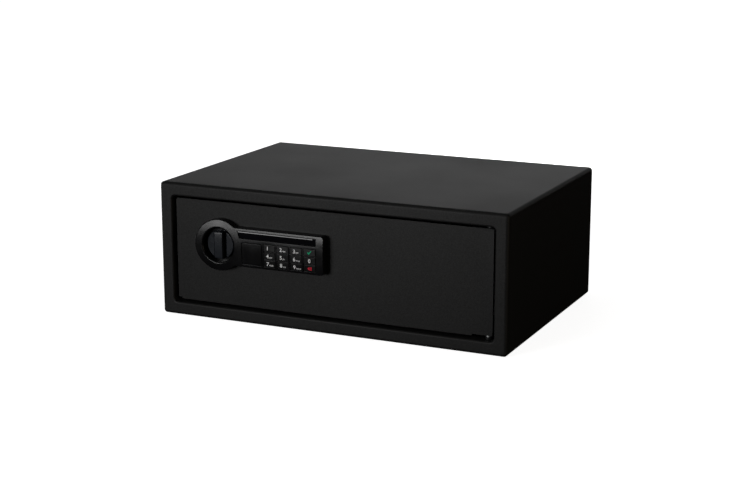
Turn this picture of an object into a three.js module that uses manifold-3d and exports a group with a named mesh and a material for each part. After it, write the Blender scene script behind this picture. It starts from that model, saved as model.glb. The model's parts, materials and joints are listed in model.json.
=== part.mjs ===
// Wide electronic safe: a folded steel box with a flanged front frame, and a door hinged on the
// right that carries a keypad lock module outside and a two-bolt lockwork inside.
// Millimetres. X runs right, Y runs to the back, Z runs up, and the origin is the middle of the
// underside. The safe stands unlocked: the bolts are drawn and the knob's grip is upright.

import * as THREE from "three";
import { mergeVertices } from "three/addons/utils/BufferGeometryUtils.js";
import Module from "manifold-3d";

const wasm = await Module();
wasm.setup();

// Common values
const fitGap = 0.3; // play between pieces that nest without touching
const overrun = 1; // how far a cutter runs past what it cuts
const leastRadius = 0.4;
const weldDistance = 0.0001;

// Body
const bodyWidth = 450;
const bodyDepth = 305;
const bodyHeight = 165;
const shellSheet = 1.6;
const shellBend = 3;
const backSheet = 1.6;
const backFlange = 12;
const anchorRadius = 5;
const floorAnchorX = 150;
const floorAnchorY = 80;
const backAnchorX = 110;
const matThickness = 3.5;
const matHoleRadius = 9;
const matEdgeGap = 1.5;

// Front frame
const frameSheet = 2;
const frameFlange = 16;
const frameEdge = 3;
const frameRim = 3.5;
const seamGap = 0.5;
const weldFlange = 8;
const lipDepth = 18;
const lipEdge = 1.5;
const openingCorner = 5;

// Door plate
const doorGap = 3.5;
const doorRecess = 6;
const doorSheet = 3;
const doorCorner = 3;
const hingeNotchLength = 25;
const latchNotchLength = 5;
const notchDepth = 2;

// Hinges
const hingeInset = 10;
const pinRadius = 2.5;
const pinShoulder = 3.6;
const pinReach = 14;
const hingePlateSheet = 3;
const hingePlateReach = 14;
const hingeBlockWidth = 12;
const hingeBlockDepth = 8;
const hingeBlockHeight = 22;
const hingeBlockCorner = 1.5;
const stopHeight = 20;
const stopReach = 6;
const stopSheet = 1.5;

// Bolts and their guide
const boltRadius = 7;
const boltShare = 0.31;
const boltTipGap = 6;
const boltLipGap = 1;
const boltLength = 47;
const boltThrow = 15;
const boltChamfer = 1.5;
const boltPlay = 0.4;
const guideSheet = 2.5;
const guideWidth = 19;
const guideFromTip = 11;
const guideInset = 6;

// Bolt bar
const barSheet = 3;
const barMargin = 9;
const barColumn = 16;
const tongueBelow = 12.3;
const tongueAbove = 18.7;
const tongueReach = 38.5;
const notchWidth = 8;
const notchRise = 6;

// Knob, spindle and cam
const knobRadius = 17.7;
const knobWellGap = 3.5;
const knobSink = 6.2;
const knobEdge = 0.8;
const gripWidth = 10.7;
const gripSink = 0.7;
const gripEndChamfer = 2.6;
const gripEdge = 0.7;
const gripEndGap = 0.4;
const scoopRadius = 5.2;
const scoopDepthShare = 0.7;
const spindleRadius = 4;
const spindleStub = 2.5;
const spindleSink = 6.5;
const bushWall = 2.4;
const bushFlange = 3;
const bushFlangeSheet = 2;
const camSheet = 3;
const camGap = 2.3;
const camHub = 7;
const crankRadius = boltThrow * Math.SQRT1_2;
const crankPinRadius = 2.5;
const crankPlay = 0.5;
const crankWall = 1.8;

// Lock module on the face of the door
const knobInset = 63.8;
const knobRise = 12.15;
const ringRadius = 31.6;
const neckFillet = 8;
const barReach = 140.6;
const barAbove = 23.8;
const barBelow = 23.35;
const barCorner = 4;
const moduleProud = 12.5;
const moduleEdge = 1;
const moduleBarrel = 170;
const moduleWall = 1.6;
const moduleFace = 2.2;
const faceLift = 0.02;
const wellChamfer = 2;
const wellFloor = 1.6;
const postRadius = 2;
const postHead = 3.2;
const postHeadSheet = 1.5;
const postInset = 5.2;

// Indicator slot and its lens
const slotHeight = 8.7;
const slotLength = 104.6;
const slotSlant = 3.3;
const slotFromTop = 3.55;
const slotFromEnd = 10.25;
const lensSink = 2;
const lensChamfer = 1.4;
const lensFlange = 1.5;
const lensSheet = 2;

// Key cover and the override lock behind it
const coverWidth = 26.7;
const coverHeight = 26.2;
const coverCorner = 1.5;
const coverSheet = 3.4;
const coverFromKnob = 46;
const coverDrop = 6.25;
const coverPocket = 4.3;
const pocketWall = 1;
const coverLegRadius = 1.5;
const coverLegInset = 3.2;
const lockRadius = 9;
const plugRadius = 6.1;
const lockNut = 13;
const lockNutSheet = 4;
const keywayWidth = 1.8;
const keywayHeight = 7;
const keywayDepth = 6;
const tailLength = 20;
const tailWidth = 10;
const tailSheet = 2.5;

// Keypad
const keyColumns = 4;
const keyRows = 3;
const keyPitchX = 17.7;
const keyPitchZ = 9.6;
const keyWidth = 15.4;
const keyHeight = 8.4;
const keyCorner = 1;
const keyPillow = 0.7;
const keyProud = 0.6;
const keyTail = 1.5;
const keyTravel = 0.9;
const keysFromEnd = 17.55;
const keysFromTop = 20.25;
const domeRadius = 3;
const domeTip = 2;
const domeRise = 1;
const membraneSheet = 1;
const membraneRim = 1;
const membraneMargin = 0.3;
const boardSheet = 1.6;

// Rear cover of the door
const rearSheet = 1.2;
const rearLeft = 9.5;
const rearLengthShare = 0.793;
const rearMargin = 10.5;
const rearBend = 2;
const rearCorner = 3;
const rearPlay = 1;
const boltWindow = 8;
const earWidth = 12;
const earReach = 9;
const earInset = 42;
const studRadius = 2;
const studLength = 6;
const nutSize = 3.9;
const nutHeight = 3.2;

// Batteries, their tray and lid
const cellRadius = 7.1;
const cellLength = 49.3;
const cellNub = 2.7;
const cellNubLength = 1.2;
const cellPitch = 15.2;
const cellPlay = 0.6;
const cellCount = 4;
const trayWall = 1.5;
const trayInset = 61.3;
const lidSheet = 2;
const lidMargin = 3;
const lidTravel = 52;
const lidCorner = 1;
const railWall = 1.4;
const railHook = 2.6;
const ridgeWidth = 3;
const ridgeHeight = 0.8;
const ridgeInset = 6;
const ridgeLengthShare = 0.4;

// Control board and reset button
const controlMargin = 12.5;
const controlFromLock = 13.3;
const controlSheet = 1.6;
const controlStandoff = 11;
const standoffRadius = 2.5;
const standoffInset = 5;
const controlFromTray = 10;
const switchSize = 8;
const switchHeight = 8;
const chipHeight = 2.4;
const buttonRadius = 2.5;
const buttonCollar = 4;
const buttonCollarSheet = 1.5;
const buttonProud = 1.4;
const buttonTravel = 1.2;

// Solenoid that blocks the bolt bar
const solenoidX = 27;
const solenoidWidth = 22;
const solenoidDepth = 20;
const solenoidClearance = 2.8;
const solenoidSheet = 1.5;
const solenoidFoot = 6;
const coilRadius = 8.4;
const plungerRadius = 3;
const plungerPlay = 0.4;
const plungerSinkShare = 0.45;
const plungerTravel = 5;
const collarRadius = 5.2;
const collarSheet = 2;
const springSpace = 6.5;
const springWire = 0.5;
const springRadius = 4.2;
const springTurns = 4;

// Leads inside the door
const keypadLeadRadius = 1.3;
const powerLeadRadius = 0.9;
const leadHoleRadius = 4;
const leadSides = 8;
const leadSteps = 14;

// Facet counts
const cornerSteps = 4;
const edgeSteps = 3;
const ringSteps = 30;
const neckSteps = 3;
const holeSides = 16;
const knobSides = 40;
const barrelSteps = 14;
const springSteps = 8;
const springSides = 5;

// Places worked out from the sizes
const frontY = -bodyDepth / 2;
const backY = bodyDepth / 2;
const bodyRight = bodyWidth / 2;
const openingRight = bodyRight - frameFlange;
const openingLeft = -openingRight;
const openingBottom = frameFlange;
const openingTop = bodyHeight - frameFlange;
const shellFront = frontY + frameRim + seamGap;
const doorLeft = openingLeft + doorGap;
const doorRight = openingRight - doorGap;
const doorBottom = openingBottom + doorGap;
const doorTop = openingTop - doorGap;
const doorMid = (doorBottom + doorTop) / 2;
const doorFront = frontY + doorRecess;
const doorBack = doorFront + doorSheet;
const pinX = openingRight - hingeInset;
const pinY = doorBack + hingeBlockDepth / 2;
const lipBack = frontY + lipDepth;

const boltY = lipBack + boltLipGap + boltRadius;
const boltTipX = openingLeft + boltTipGap;
const boltEndX = boltTipX + boltLength;
const rearHeight = doorTop - doorBottom - 2 * rearMargin;
const rearBottom = doorMid - rearHeight / 2;
const rearTop = doorMid + rearHeight / 2;
const boltHeights = [doorMid - boltShare * rearHeight, doorMid + boltShare * rearHeight];
const webFront = boltY + boltRadius + fitGap;
const webBack = webFront + barSheet;
const camBack = webFront - camGap;
const camFront = camBack - camSheet;

const knobX = doorLeft + knobInset;
const knobZ = doorMid + knobRise;
const barRight = knobX + barReach;
const barTop = knobZ + barAbove;
const barBottom = knobZ - barBelow;
const barrelZ = (barTop + barBottom) / 2;
const crownY = doorFront - moduleProud;
const ceilingY = crownY + faceSag(barTop) + moduleFace;
const wellRadius = knobRadius + knobWellGap;
const wellBackY = doorFront - wellFloor;
const coverX = knobX + coverFromKnob;
const coverZ = knobZ - coverDrop;
const pocketY = crownY + coverPocket;
const keyFirstX = barRight - keysFromEnd - (keyColumns - 1) * keyPitchX;
const keyFirstZ = barTop - keysFromTop;
const keyBackY = ceilingY + keyTail;
const domeFrontY = keyBackY + keyTravel + fitGap;
const membraneFrontY = domeFrontY + domeRise;
const membraneBackY = membraneFrontY + membraneSheet;
const keypadBackY = membraneBackY + boardSheet;

const plungerX = knobX + solenoidX;
const plungerY = (webFront + webBack) / 2;
const rearInnerY = plungerY + solenoidDepth / 2 + rearPlay;
const rearBackY = rearInnerY + rearSheet;
const rearX = doorLeft + rearLeft;
const rearEndX = rearX + rearLengthShare * (doorRight - doorLeft);
const tongueBottom = knobZ - tongueBelow;
const plungerTop = tongueBottom - crankPlay;
const collarTop = plungerTop - plungerTravel - fitGap;
const solenoidTop = collarTop - collarSheet - springSpace;
const solenoidBottom = rearBottom + rearSheet + solenoidClearance + solenoidFoot;
const plungerBottom = solenoidTop - plungerSinkShare * (solenoidTop - solenoidBottom);
const trayLength = cellLength + cellNubLength + 2 * cellPlay;
const trayHeight = cellCount * cellPitch;
const trayRight = rearEndX - trayInset;
const trayLeft = trayRight - trayLength;
const trayBottom = doorMid - trayHeight / 2;
const controlRight = trayLeft - trayWall - controlFromTray;
const controlLeft = coverX + lockNut + controlFromLock;
const controlWidth = controlRight - controlLeft;
const controlFrontY = doorBack + controlStandoff;
const controlBackY = controlFrontY + controlSheet;
const controlHeight = rearHeight - 2 * controlMargin;
const controlBottom = doorMid - controlHeight / 2;
const buttonX = controlRight - controlWidth / 4;
const buttonZ = controlBottom + controlHeight / 4;

// Materials
const coatedSteel = finish(0x1b1b1c, 0.62, 0.3);
const zincSteel = finish(0xc4c2bc, 0.35, 0.9);
const brightSteel = finish(0xa9abae, 0.28, 0.95);
const brassMetal = finish(0xb59a5a, 0.3, 0.9);
const blackPlastic = finish(0x232326, 0.42, 0);
const greyPlastic = finish(0x33353b, 0.38, 0);
const darkPlastic = finish(0x161617, 0.5, 0);
const glossBlack = finish(0x050506, 0.08, 0);
const keyRubber = finish(0x3a3a3d, 0.6, 0);
const redPlastic = finish(0xa02020, 0.5, 0);
const boardGreen = finish(0x1f5b36, 0.5, 0);
const copperCoil = finish(0x8a4a22, 0.45, 0.6);
const cellSleeve = finish(0x2f4f7a, 0.4, 0.2);
const feltGrey = finish(0x2c2c2e, 0.95, 0);
const leadSheath = finish(0x26262a, 0.55, 0);

function finish(color, roughness, metalness) {
  return new THREE.MeshStandardMaterial({ color, roughness, metalness });
}

// How far the module's barrelled face falls back from its crown at a height
function faceSag(z) {
  const rise = z - barrelZ;
  return moduleBarrel - Math.sqrt(moduleBarrel ** 2 - rise ** 2);
}

// A closed geometry as a solid that faces out
function solidOf(geometry) {
  const bare = geometry.index ? geometry.toNonIndexed() : geometry.clone();
  bare.deleteAttribute("normal");
  bare.deleteAttribute("uv");
  const merged = mergeVertices(bare, weldDistance);
  const corners = merged.index.array;
  const kept = [];
  for (let i = 0; i < corners.length; i += 3) {
    const [a, b, c] = corners.slice(i, i + 3);
    if (a !== b && b !== c && c !== a) kept.push(a, b, c);
  }
  const solid = (triVerts) =>
    new wasm.Manifold(
      new wasm.Mesh({
        numProp: 3,
        vertProperties: merged.attributes.position.array,
        triVerts: new Uint32Array(triVerts),
      }),
    );
  const made = solid(kept);
  return made.volume() > 0 ? made : solid(kept.reverse());
}

function join(...solids) {
  return solids.reduce((whole, solid) => whole.add(solid));
}

function cut(base, ...cutters) {
  return cutters.reduce((rest, cutter) => rest.subtract(cutter), base);
}

// Points round an arc, angles in degrees
function arc(x, z, radius, from, to, steps) {
  return Array.from({ length: steps + 1 }, (_, i) => {
    const angle = THREE.MathUtils.degToRad(from + ((to - from) * i) / steps);
    return [x + radius * Math.cos(angle), z + radius * Math.sin(angle)];
  });
}

function circle(x, z, radius, sides = holeSides) {
  return arc(x, z, radius, 0, 360, sides).slice(1);
}

// A rectangle with rounded corners, counter-clockwise
function roundedRect(left, right, bottom, top, radius, steps = cornerSteps) {
  const r = Math.max(radius, leastRadius);
  return [
    ...arc(right - r, bottom + r, r, -90, 0, steps),
    ...arc(right - r, top - r, r, 0, 90, steps),
    ...arc(left + r, top - r, r, 90, 180, steps),
    ...arc(left + r, bottom + r, r, 180, 270, steps),
  ];
}

function rect(left, right, bottom, top) {
  return [
    [left, bottom],
    [right, bottom],
    [right, top],
    [left, top],
  ];
}

// The directions that an outline's two axes and its depth take when it is extruded along X, Y or Z
const unitX = new THREE.Vector3(1, 0, 0);
const unitY = new THREE.Vector3(0, 1, 0);
const unitZ = new THREE.Vector3(0, 0, 1);
const extrusionFrames = {
  x: new THREE.Matrix4().makeBasis(unitY, unitZ, unitX),
  y: new THREE.Matrix4().makeBasis(unitX, unitZ, unitY.clone().negate()),
  z: new THREE.Matrix4().makeBasis(unitX, unitY, unitZ),
};

// An outline extruded along an axis from one place to another
function prism(axis, points, from, to) {
  const shape = new THREE.Shape(points.map(([u, v]) => new THREE.Vector2(u, v)));
  const geometry = new THREE.ExtrudeGeometry(shape, { depth: to - from, bevelEnabled: false });
  geometry.applyMatrix4(extrusionFrames[axis]);
  const start = axis === "y" ? to : from;
  geometry.translate(...{ x: [start, 0, 0], y: [0, start, 0], z: [0, 0, start] }[axis]);
  return solidOf(geometry);
}

// A profile of radius and place along the axis, turned about an axis through a point
function turned(axis, centre, profile, sides = holeSides) {
  const points = profile.map(([radius, along]) => new THREE.Vector2(radius, along));
  const geometry = new THREE.LatheGeometry(points, sides);
  if (axis === "z") geometry.rotateX(Math.PI / 2);
  if (axis === "x") geometry.rotateZ(-Math.PI / 2);
  const [u, v] = centre;
  geometry.translate(...{ x: [0, u, v], y: [u, 0, v], z: [u, v, 0] }[axis]);
  return solidOf(geometry);
}

// Like outlines in the XZ plane skinned from front to back, each at a depth or on a curved face
function loft(rings) {
  const count = rings[0].points.length;
  const positions = rings.flatMap(({ points, at }) =>
    points.flatMap(([x, z]) => [x, typeof at === "function" ? at(z) : at, z]),
  );
  const faces = [];
  for (let r = 0; r < rings.length - 1; r++) {
    for (let i = 0; i < count; i++) {
      const next = (i + 1) % count;
      const front = r * count;
      const back = front + count;
      faces.push(front + i, back + next, front + next, front + i, back + i, back + next);
    }
  }
  const cap = (points) =>
    THREE.ShapeUtils.triangulateShape(points.map(([u, v]) => new THREE.Vector2(u, v)), []);
  cap(rings[0].points).forEach(([a, b, c]) => faces.push(a, b, c));
  const last = (rings.length - 1) * count;
  cap(rings[rings.length - 1].points).forEach(([a, b, c]) => faces.push(last + a, last + c, last + b));
  const geometry = new THREE.BufferGeometry();
  geometry.setAttribute("position", new THREE.Float32BufferAttribute(positions, 3));
  geometry.setIndex(faces);
  return solidOf(geometry);
}

// A round lead along a smooth route
function lead(route, radius, steps = leadSteps, sides = leadSides) {
  const section = new THREE.Shape(
    circle(0, 0, radius, sides).map(([u, v]) => new THREE.Vector2(u, v)),
  );
  const extrudePath = new THREE.CatmullRomCurve3(route.map((p) => new THREE.Vector3(...p)));
  return solidOf(new THREE.ExtrudeGeometry(section, { steps, extrudePath, bevelEnabled: false }));
}

// The quarter round between a front face and its side, as depth and inset pairs
function quarterRound(radius) {
  return Array.from({ length: edgeSteps + 1 }, (_, i) => {
    const angle = (Math.PI / 2) * (i / edgeSteps);
    return { depth: radius * (1 - Math.cos(angle)), inset: radius * (1 - Math.sin(angle)) };
  });
}

const groups = {};
const safe = new THREE.Group();
for (const name of ["body", "door", "boltwork", "knob", "keypad", "lock"]) {
  groups[name] = new THREE.Group();
  groups[name].name = name;
  safe.add(groups[name]);
}

function add(group, name, solid, material) {
  const { vertProperties, triVerts } = solid.getMesh();
  const geometry = new THREE.BufferGeometry();
  geometry.setAttribute("position", new THREE.BufferAttribute(vertProperties, 3));
  geometry.setIndex(new THREE.BufferAttribute(triVerts, 1));
  geometry.computeVertexNormals();
  const mesh = new THREE.Mesh(geometry, material.clone());
  mesh.name = name;
  groups[group].add(mesh);
}

// Outline of the body, drawn in from its outside
function bodyOutline(inset) {
  return roundedRect(-bodyRight + inset, bodyRight - inset, inset, bodyHeight - inset, shellBend - inset);
}

// Outline of the front opening, grown from its inside
function openingOutline(grown) {
  return roundedRect(
    openingLeft - grown,
    openingRight + grown,
    openingBottom - grown,
    openingTop + grown,
    openingCorner + grown,
  );
}

// Outer shell: one sheet folded round the top, sides and floor, with four anchor holes
function outerShell() {
  const tube = cut(
    prism("y", bodyOutline(0), shellFront, backY),
    prism("y", bodyOutline(shellSheet), shellFront - overrun, backY + overrun),
  );
  const holes = floorAnchors().map(([x, y]) =>
    prism("z", circle(x, y, anchorRadius), -overrun, shellSheet + overrun),
  );
  return cut(tube, ...holes);
}

function floorAnchors() {
  return [-floorAnchorX, floorAnchorX].flatMap((x) => [-floorAnchorY, floorAnchorY].map((y) => [x, y]));
}

// Back panel: a shallow pan welded inside the shell's rear end
function backPanel() {
  const inset = shellSheet + fitGap;
  const pan = cut(
    prism("y", bodyOutline(inset), backY - backFlange, backY),
    prism("y", bodyOutline(inset + backSheet), backY - backFlange - overrun, backY - backSheet),
  );
  const holes = [-backAnchorX, backAnchorX].map((x) =>
    prism("y", circle(x, doorMid, anchorRadius), backY - backSheet - overrun, backY + overrun),
  );
  return cut(pan, ...holes);
}

// Front frame: a flange with a rounded rim, a tongue inside the shell and a lip round the opening
function frontFrame() {
  const rim = loft([
    ...quarterRound(frameEdge).map(({ depth, inset }) => ({
      points: bodyOutline(inset),
      at: frontY + depth,
    })),
    { points: bodyOutline(0), at: frontY + frameRim },
  ]);
  const tongueInset = shellSheet + fitGap;
  const tongueBack = frontY + frameRim + weldFlange;
  const tongue = prism("y", bodyOutline(tongueInset), frontY + frameSheet, tongueBack);
  const hollow = prism(
    "y",
    bodyOutline(tongueInset + frameSheet),
    frontY + frameSheet,
    tongueBack + overrun,
  );
  const lip = prism("y", openingOutline(frameSheet), frontY + frameSheet / 2, lipBack);
  const opening = loft([
    { points: openingOutline(lipEdge), at: frontY - overrun },
    ...quarterRound(lipEdge).map(({ depth, inset }) => ({
      points: openingOutline(inset),
      at: frontY + depth,
    })),
    { points: openingOutline(0), at: lipBack + overrun },
  ]);
  const pinHoles = prism("z", circle(pinX, pinY, pinRadius + fitGap), 0, bodyHeight);
  const shafts = prism(
    "z",
    rect(pinX - pinShoulder, pinX + pinShoulder, pinY - pinShoulder, pinY + pinShoulder),
    openingBottom - frameSheet - overrun,
    openingTop + frameSheet + overrun,
  );
  return cut(join(cut(join(rim, tongue), hollow), lip), opening, pinHoles.intersect(shafts));
}

// Hinge plates: doublers behind the lip that carry the pins
function hingePlate(lower) {
  const height = lower
    ? [openingBottom - frameSheet - hingePlateSheet, openingBottom - frameSheet]
    : [openingTop + frameSheet, openingTop + frameSheet + hingePlateSheet];
  const outline = rect(
    pinX - hingePlateReach,
    openingRight,
    frontY + frameSheet + fitGap,
    lipBack,
  );
  return cut(
    prism("z", outline, ...height),
    prism("z", circle(pinX, pinY, pinRadius + fitGap), height[0] - overrun, height[1] + overrun),
  );
}

// Door stop: an angle welded inside the lip on the latch side, with the door closing on its tab
function doorStop() {
  const front = doorBack + fitGap;
  const outline = [
    [openingLeft, front],
    [openingLeft + stopReach, front],
    [openingLeft + stopReach, front + stopSheet],
    [openingLeft + stopSheet, front + stopSheet],
    [openingLeft + stopSheet, lipBack],
    [openingLeft, lipBack],
  ];
  return prism("z", outline, doorMid - stopHeight / 2, doorMid + stopHeight / 2);
}

// Felt mat on the floor, open round each anchor hole
function floorMat() {
  const side = bodyRight - shellSheet - matEdgeGap;
  const outline = roundedRect(
    -side,
    side,
    lipBack + matEdgeGap,
    backY - backFlange - matEdgeGap,
    shellBend,
  );
  const mat = prism("z", outline, shellSheet, shellSheet + matThickness);
  const holes = floorAnchors().map(([x, y]) =>
    prism("z", circle(x, y, matHoleRadius), shellSheet - overrun, shellSheet + matThickness + overrun),
  );
  return cut(mat, ...holes);
}

add("body", "outer_shell", outerShell(), coatedSteel);
add("body", "back_panel", backPanel(), coatedSteel);
add("body", "front_frame", frontFrame(), coatedSteel);
add("body", "hinge_plate_lower", hingePlate(true), coatedSteel);
add("body", "hinge_plate_upper", hingePlate(false), coatedSteel);
add("body", "door_stop", doorStop(), coatedSteel);
add("body", "floor_mat", floorMat(), feltGrey);

// Places of the studs that hold the rear cover, and whether each is at the top
function earPlaces() {
  const reach = rearHeight / 2 + earReach / 2;
  return [rearX + earInset, rearEndX - earInset].flatMap((x) => [
    { x, z: doorMid - reach, top: false },
    { x, z: doorMid + reach, top: true },
  ]);
}

// Holes that the module's two posts pass through
function postPlaces() {
  const ringGap = (wellRadius + moduleWall + ringRadius - moduleWall) / 2;
  return [
    [knobX - ringGap, knobZ],
    [barRight - postInset, knobZ],
  ];
}

// Where the keypad lead goes through the door
const leadX = barRight - keysFromEnd - keyPitchX;
const leadZ = keyFirstZ - keyPitchZ;

// Door plate: notched at its lower and hinge corners, with welded studs behind
function doorPlate() {
  const notches = [
    rect(doorRight - hingeNotchLength, doorRight + overrun, doorBottom - overrun, doorBottom + notchDepth),
    rect(doorRight - hingeNotchLength, doorRight + overrun, doorTop - notchDepth, doorTop + overrun),
    rect(doorLeft - overrun, doorLeft + latchNotchLength, doorBottom - overrun, doorBottom + notchDepth),
  ];
  const holes = [
    circle(knobX, knobZ, spindleRadius + fitGap + bushWall + fitGap),
    circle(coverX, coverZ, lockRadius + fitGap),
    circle(leadX, leadZ, leadHoleRadius),
    ...postPlaces().map(([x, z]) => circle(x, z, postRadius + fitGap)),
  ];
  const plate = cut(
    prism("y", roundedRect(doorLeft, doorRight, doorBottom, doorTop, doorCorner), doorFront, doorBack),
    ...[...notches, ...holes].map((outline) =>
      prism("y", outline, doorFront - overrun, doorBack + overrun),
    ),
  );
  const studs = earPlaces().map(({ x, z }) =>
    prism("y", circle(x, z, studRadius), doorFront + doorSheet / 2, doorBack + studLength),
  );
  const standoffs = [controlLeft + standoffInset, controlRight - standoffInset].flatMap((x) =>
    [controlBottom + standoffInset, controlBottom + controlHeight - standoffInset].map((z) =>
      prism("y", circle(x, z, standoffRadius), doorFront + doorSheet / 2, controlFrontY),
    ),
  );
  return join(plate, ...studs, ...standoffs);
}

// Hinge blocks welded behind the door, each bored for its pin
function hingeBlock(lower) {
  const height = lower
    ? [doorBottom + notchDepth, doorBottom + notchDepth + hingeBlockHeight]
    : [doorTop - notchDepth - hingeBlockHeight, doorTop - notchDepth];
  const bore = lower
    ? [height[0] - overrun, height[0] + pinReach + fitGap]
    : [height[1] - pinReach - fitGap, height[1] + overrun];
  const half = hingeBlockWidth / 2;
  const outline = roundedRect(
    pinX - half,
    pinX + half,
    doorBack,
    doorBack + hingeBlockDepth,
    hingeBlockCorner,
  );
  return cut(
    prism("z", outline, ...height),
    prism("z", circle(pinX, pinY, pinRadius + fitGap), ...bore),
  );
}

// Hinge pins: turned, with a shoulder that bears on the lip of the frame
function hingePin(lower) {
  const out = lower ? 1 : -1;
  const lipFace = lower ? openingBottom : openingTop;
  const blockFace = lower ? doorBottom + notchDepth : doorTop - notchDepth;
  const foot = lipFace - out * (frameSheet + hingePlateSheet);
  return turned(
    "z",
    [pinX, pinY],
    [
      [0, foot],
      [pinRadius, foot],
      [pinRadius, lipFace + out * fitGap],
      [pinShoulder, lipFace + out * fitGap],
      [pinShoulder, blockFace],
      [pinRadius, blockFace],
      [pinRadius, blockFace + out * pinReach],
      [0, blockFace + out * pinReach],
    ],
  );
}

// Bolt guide: a channel with a bore for each bolt in both walls
function boltGuide() {
  const left = boltTipX + guideFromTip;
  const right = left + guideWidth;
  const bottom = rearBottom + guideInset;
  const top = rearTop - guideInset;
  const backEdge = boltY + boltRadius + guideSheet;
  const outline = [
    [left, doorBack],
    [right, doorBack],
    [right, backEdge],
    [right - guideSheet, backEdge],
    [right - guideSheet, doorBack + guideSheet],
    [left + guideSheet, doorBack + guideSheet],
    [left + guideSheet, backEdge],
    [left, backEdge],
  ];
  const bores = boltHeights.map((z) =>
    prism("x", circle(boltY, z, boltRadius + boltPlay, knobSides / 2), left - overrun, right + overrun),
  );
  return cut(prism("z", outline, bottom, top), ...bores);
}

// Rear cover: a folded pan over the lockwork with ears, bolt windows, a battery hatch and rails
function rearCover() {
  const outline = (inset) =>
    roundedRect(
      rearX + inset,
      rearEndX - inset,
      rearBottom + inset,
      rearTop - inset,
      rearCorner - inset,
    );
  const outside = loft([
    { points: outline(0), at: doorBack },
    ...quarterRound(rearBend)
      .reverse()
      .map(({ depth, inset }) => ({ points: outline(inset), at: rearBackY - depth })),
  ]);
  const inside = prism("y", outline(rearSheet), doorBack - overrun, rearInnerY);
  const ears = earPlaces().map(({ x, top: atTop }) => {
    const edge = atTop
      ? [rearTop - rearSheet, rearTop + earReach]
      : [rearBottom - earReach, rearBottom + rearSheet];
    return prism(
      "y",
      roundedRect(x - earWidth / 2, x + earWidth / 2, ...edge, rearCorner),
      doorBack,
      doorBack + rearSheet,
    );
  });
  const earHoles = earPlaces().map(({ x, z }) =>
    prism(
      "y",
      circle(x, z, studRadius + fitGap),
      doorBack - overrun,
      doorBack + rearSheet + overrun,
    ),
  );
  const windows = boltHeights.map((z) =>
    prism("x", circle(boltY, z, boltWindow, knobSides / 2), rearX - overrun, rearX + rearSheet + overrun),
  );
  const hatch = prism(
    "y",
    rect(trayLeft, trayRight, trayBottom, trayBottom + trayHeight),
    rearInnerY - overrun,
    rearBackY + overrun,
  );
  const buttonHole = prism(
    "y",
    circle(buttonX, buttonZ, buttonRadius + fitGap),
    rearInnerY - overrun,
    rearBackY + overrun,
  );
  const lid = lidPlace();
  const rails = [-1, 1].map((side) => {
    const wall = side < 0 ? lid.bottom - fitGap : lid.top + fitGap;
    const hook = lid.back + fitGap;
    const section = [
      [rearBackY - rearSheet / 2, wall],
      [hook, wall],
      [hook, wall - side * railHook],
      [hook + railWall, wall - side * railHook],
      [hook + railWall, wall + side * railWall],
      [rearBackY - rearSheet / 2, wall + side * railWall],
    ];
    return prism("x", side < 0 ? section.reverse() : section, lid.left, lid.right + lidTravel);
  });
  return cut(join(cut(outside, inside), ...ears, ...rails), ...earHoles, ...windows, hatch, buttonHole);
}

// Box of the battery lid when it is shut
function lidPlace() {
  return {
    left: trayLeft - lidMargin,
    right: trayRight + lidMargin,
    bottom: trayBottom - lidMargin,
    top: trayBottom + trayHeight + lidMargin,
    front: rearBackY + fitGap,
    back: rearBackY + fitGap + lidSheet,
  };
}

// Battery lid: a slide with a finger ridge
function batteryLid() {
  const { left, right, bottom, top, front, back } = lidPlace();
  const ridgeHalf = ((top - bottom) * ridgeLengthShare) / 2;
  const middle = (bottom + top) / 2;
  const ridge = prism(
    "y",
    roundedRect(
      left + ridgeInset,
      left + ridgeInset + ridgeWidth,
      middle - ridgeHalf,
      middle + ridgeHalf,
      lidCorner,
    ),
    front + lidSheet / 2,
    back + ridgeHeight,
  );
  return join(prism("y", roundedRect(left, right, bottom, top, lidCorner), front, back), ridge);
}

// Hexagon nuts on the cover's studs
function coverNut({ x, z }) {
  const front = doorBack + rearSheet;
  return cut(
    prism("y", circle(x, z, nutSize, 6), front, front + nutHeight),
    prism("y", circle(x, z, studRadius + fitGap), front - overrun, front + nutHeight + overrun),
  );
}

// Battery tray: an open box against the inside of the cover, with saddles between the cells
function batteryTray() {
  const floorY = rearInnerY - 2 * cellRadius - 2 * fitGap;
  const box = cut(
    prism(
      "y",
      roundedRect(
        trayLeft - trayWall,
        trayRight + trayWall,
        trayBottom - trayWall,
        trayBottom + trayHeight + trayWall,
        trayWall,
      ),
      floorY - trayWall,
      rearInnerY,
    ),
    prism("y", rect(trayLeft, trayRight, trayBottom, trayBottom + trayHeight), floorY, rearInnerY + overrun),
  );
  const saddles = Array.from({ length: cellCount - 1 }, (_, i) => {
    const z = trayBottom + (i + 1) * cellPitch;
    const half = cellPitch / 2 - cellRadius + fitGap;
    const section = [
      [floorY - trayWall / 2, z - half],
      [floorY - trayWall / 2, z + half],
      [floorY + half, z],
    ];
    return prism("x", section.reverse(), trayLeft - trayWall / 2, trayRight + trayWall / 2);
  });
  return join(box, ...saddles);
}

// Dry cells, laid with their ends alternating
function batteryCell(index) {
  const turn = index % 2 ? -1 : 1;
  const middle = (trayLeft + trayRight) / 2;
  const half = (cellLength + cellNubLength) / 2;
  const at = (along) => middle + turn * along;
  const y = rearInnerY - cellRadius - fitGap;
  const z = trayBottom + (index + 1 / 2) * cellPitch;
  return turned("x", [y, z], [
    [0, at(-half)],
    [cellRadius, at(-half)],
    [cellRadius, at(half - cellNubLength)],
    [cellNub, at(half - cellNubLength)],
    [cellNub, at(half)],
    [0, at(half)],
  ]);
}

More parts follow.
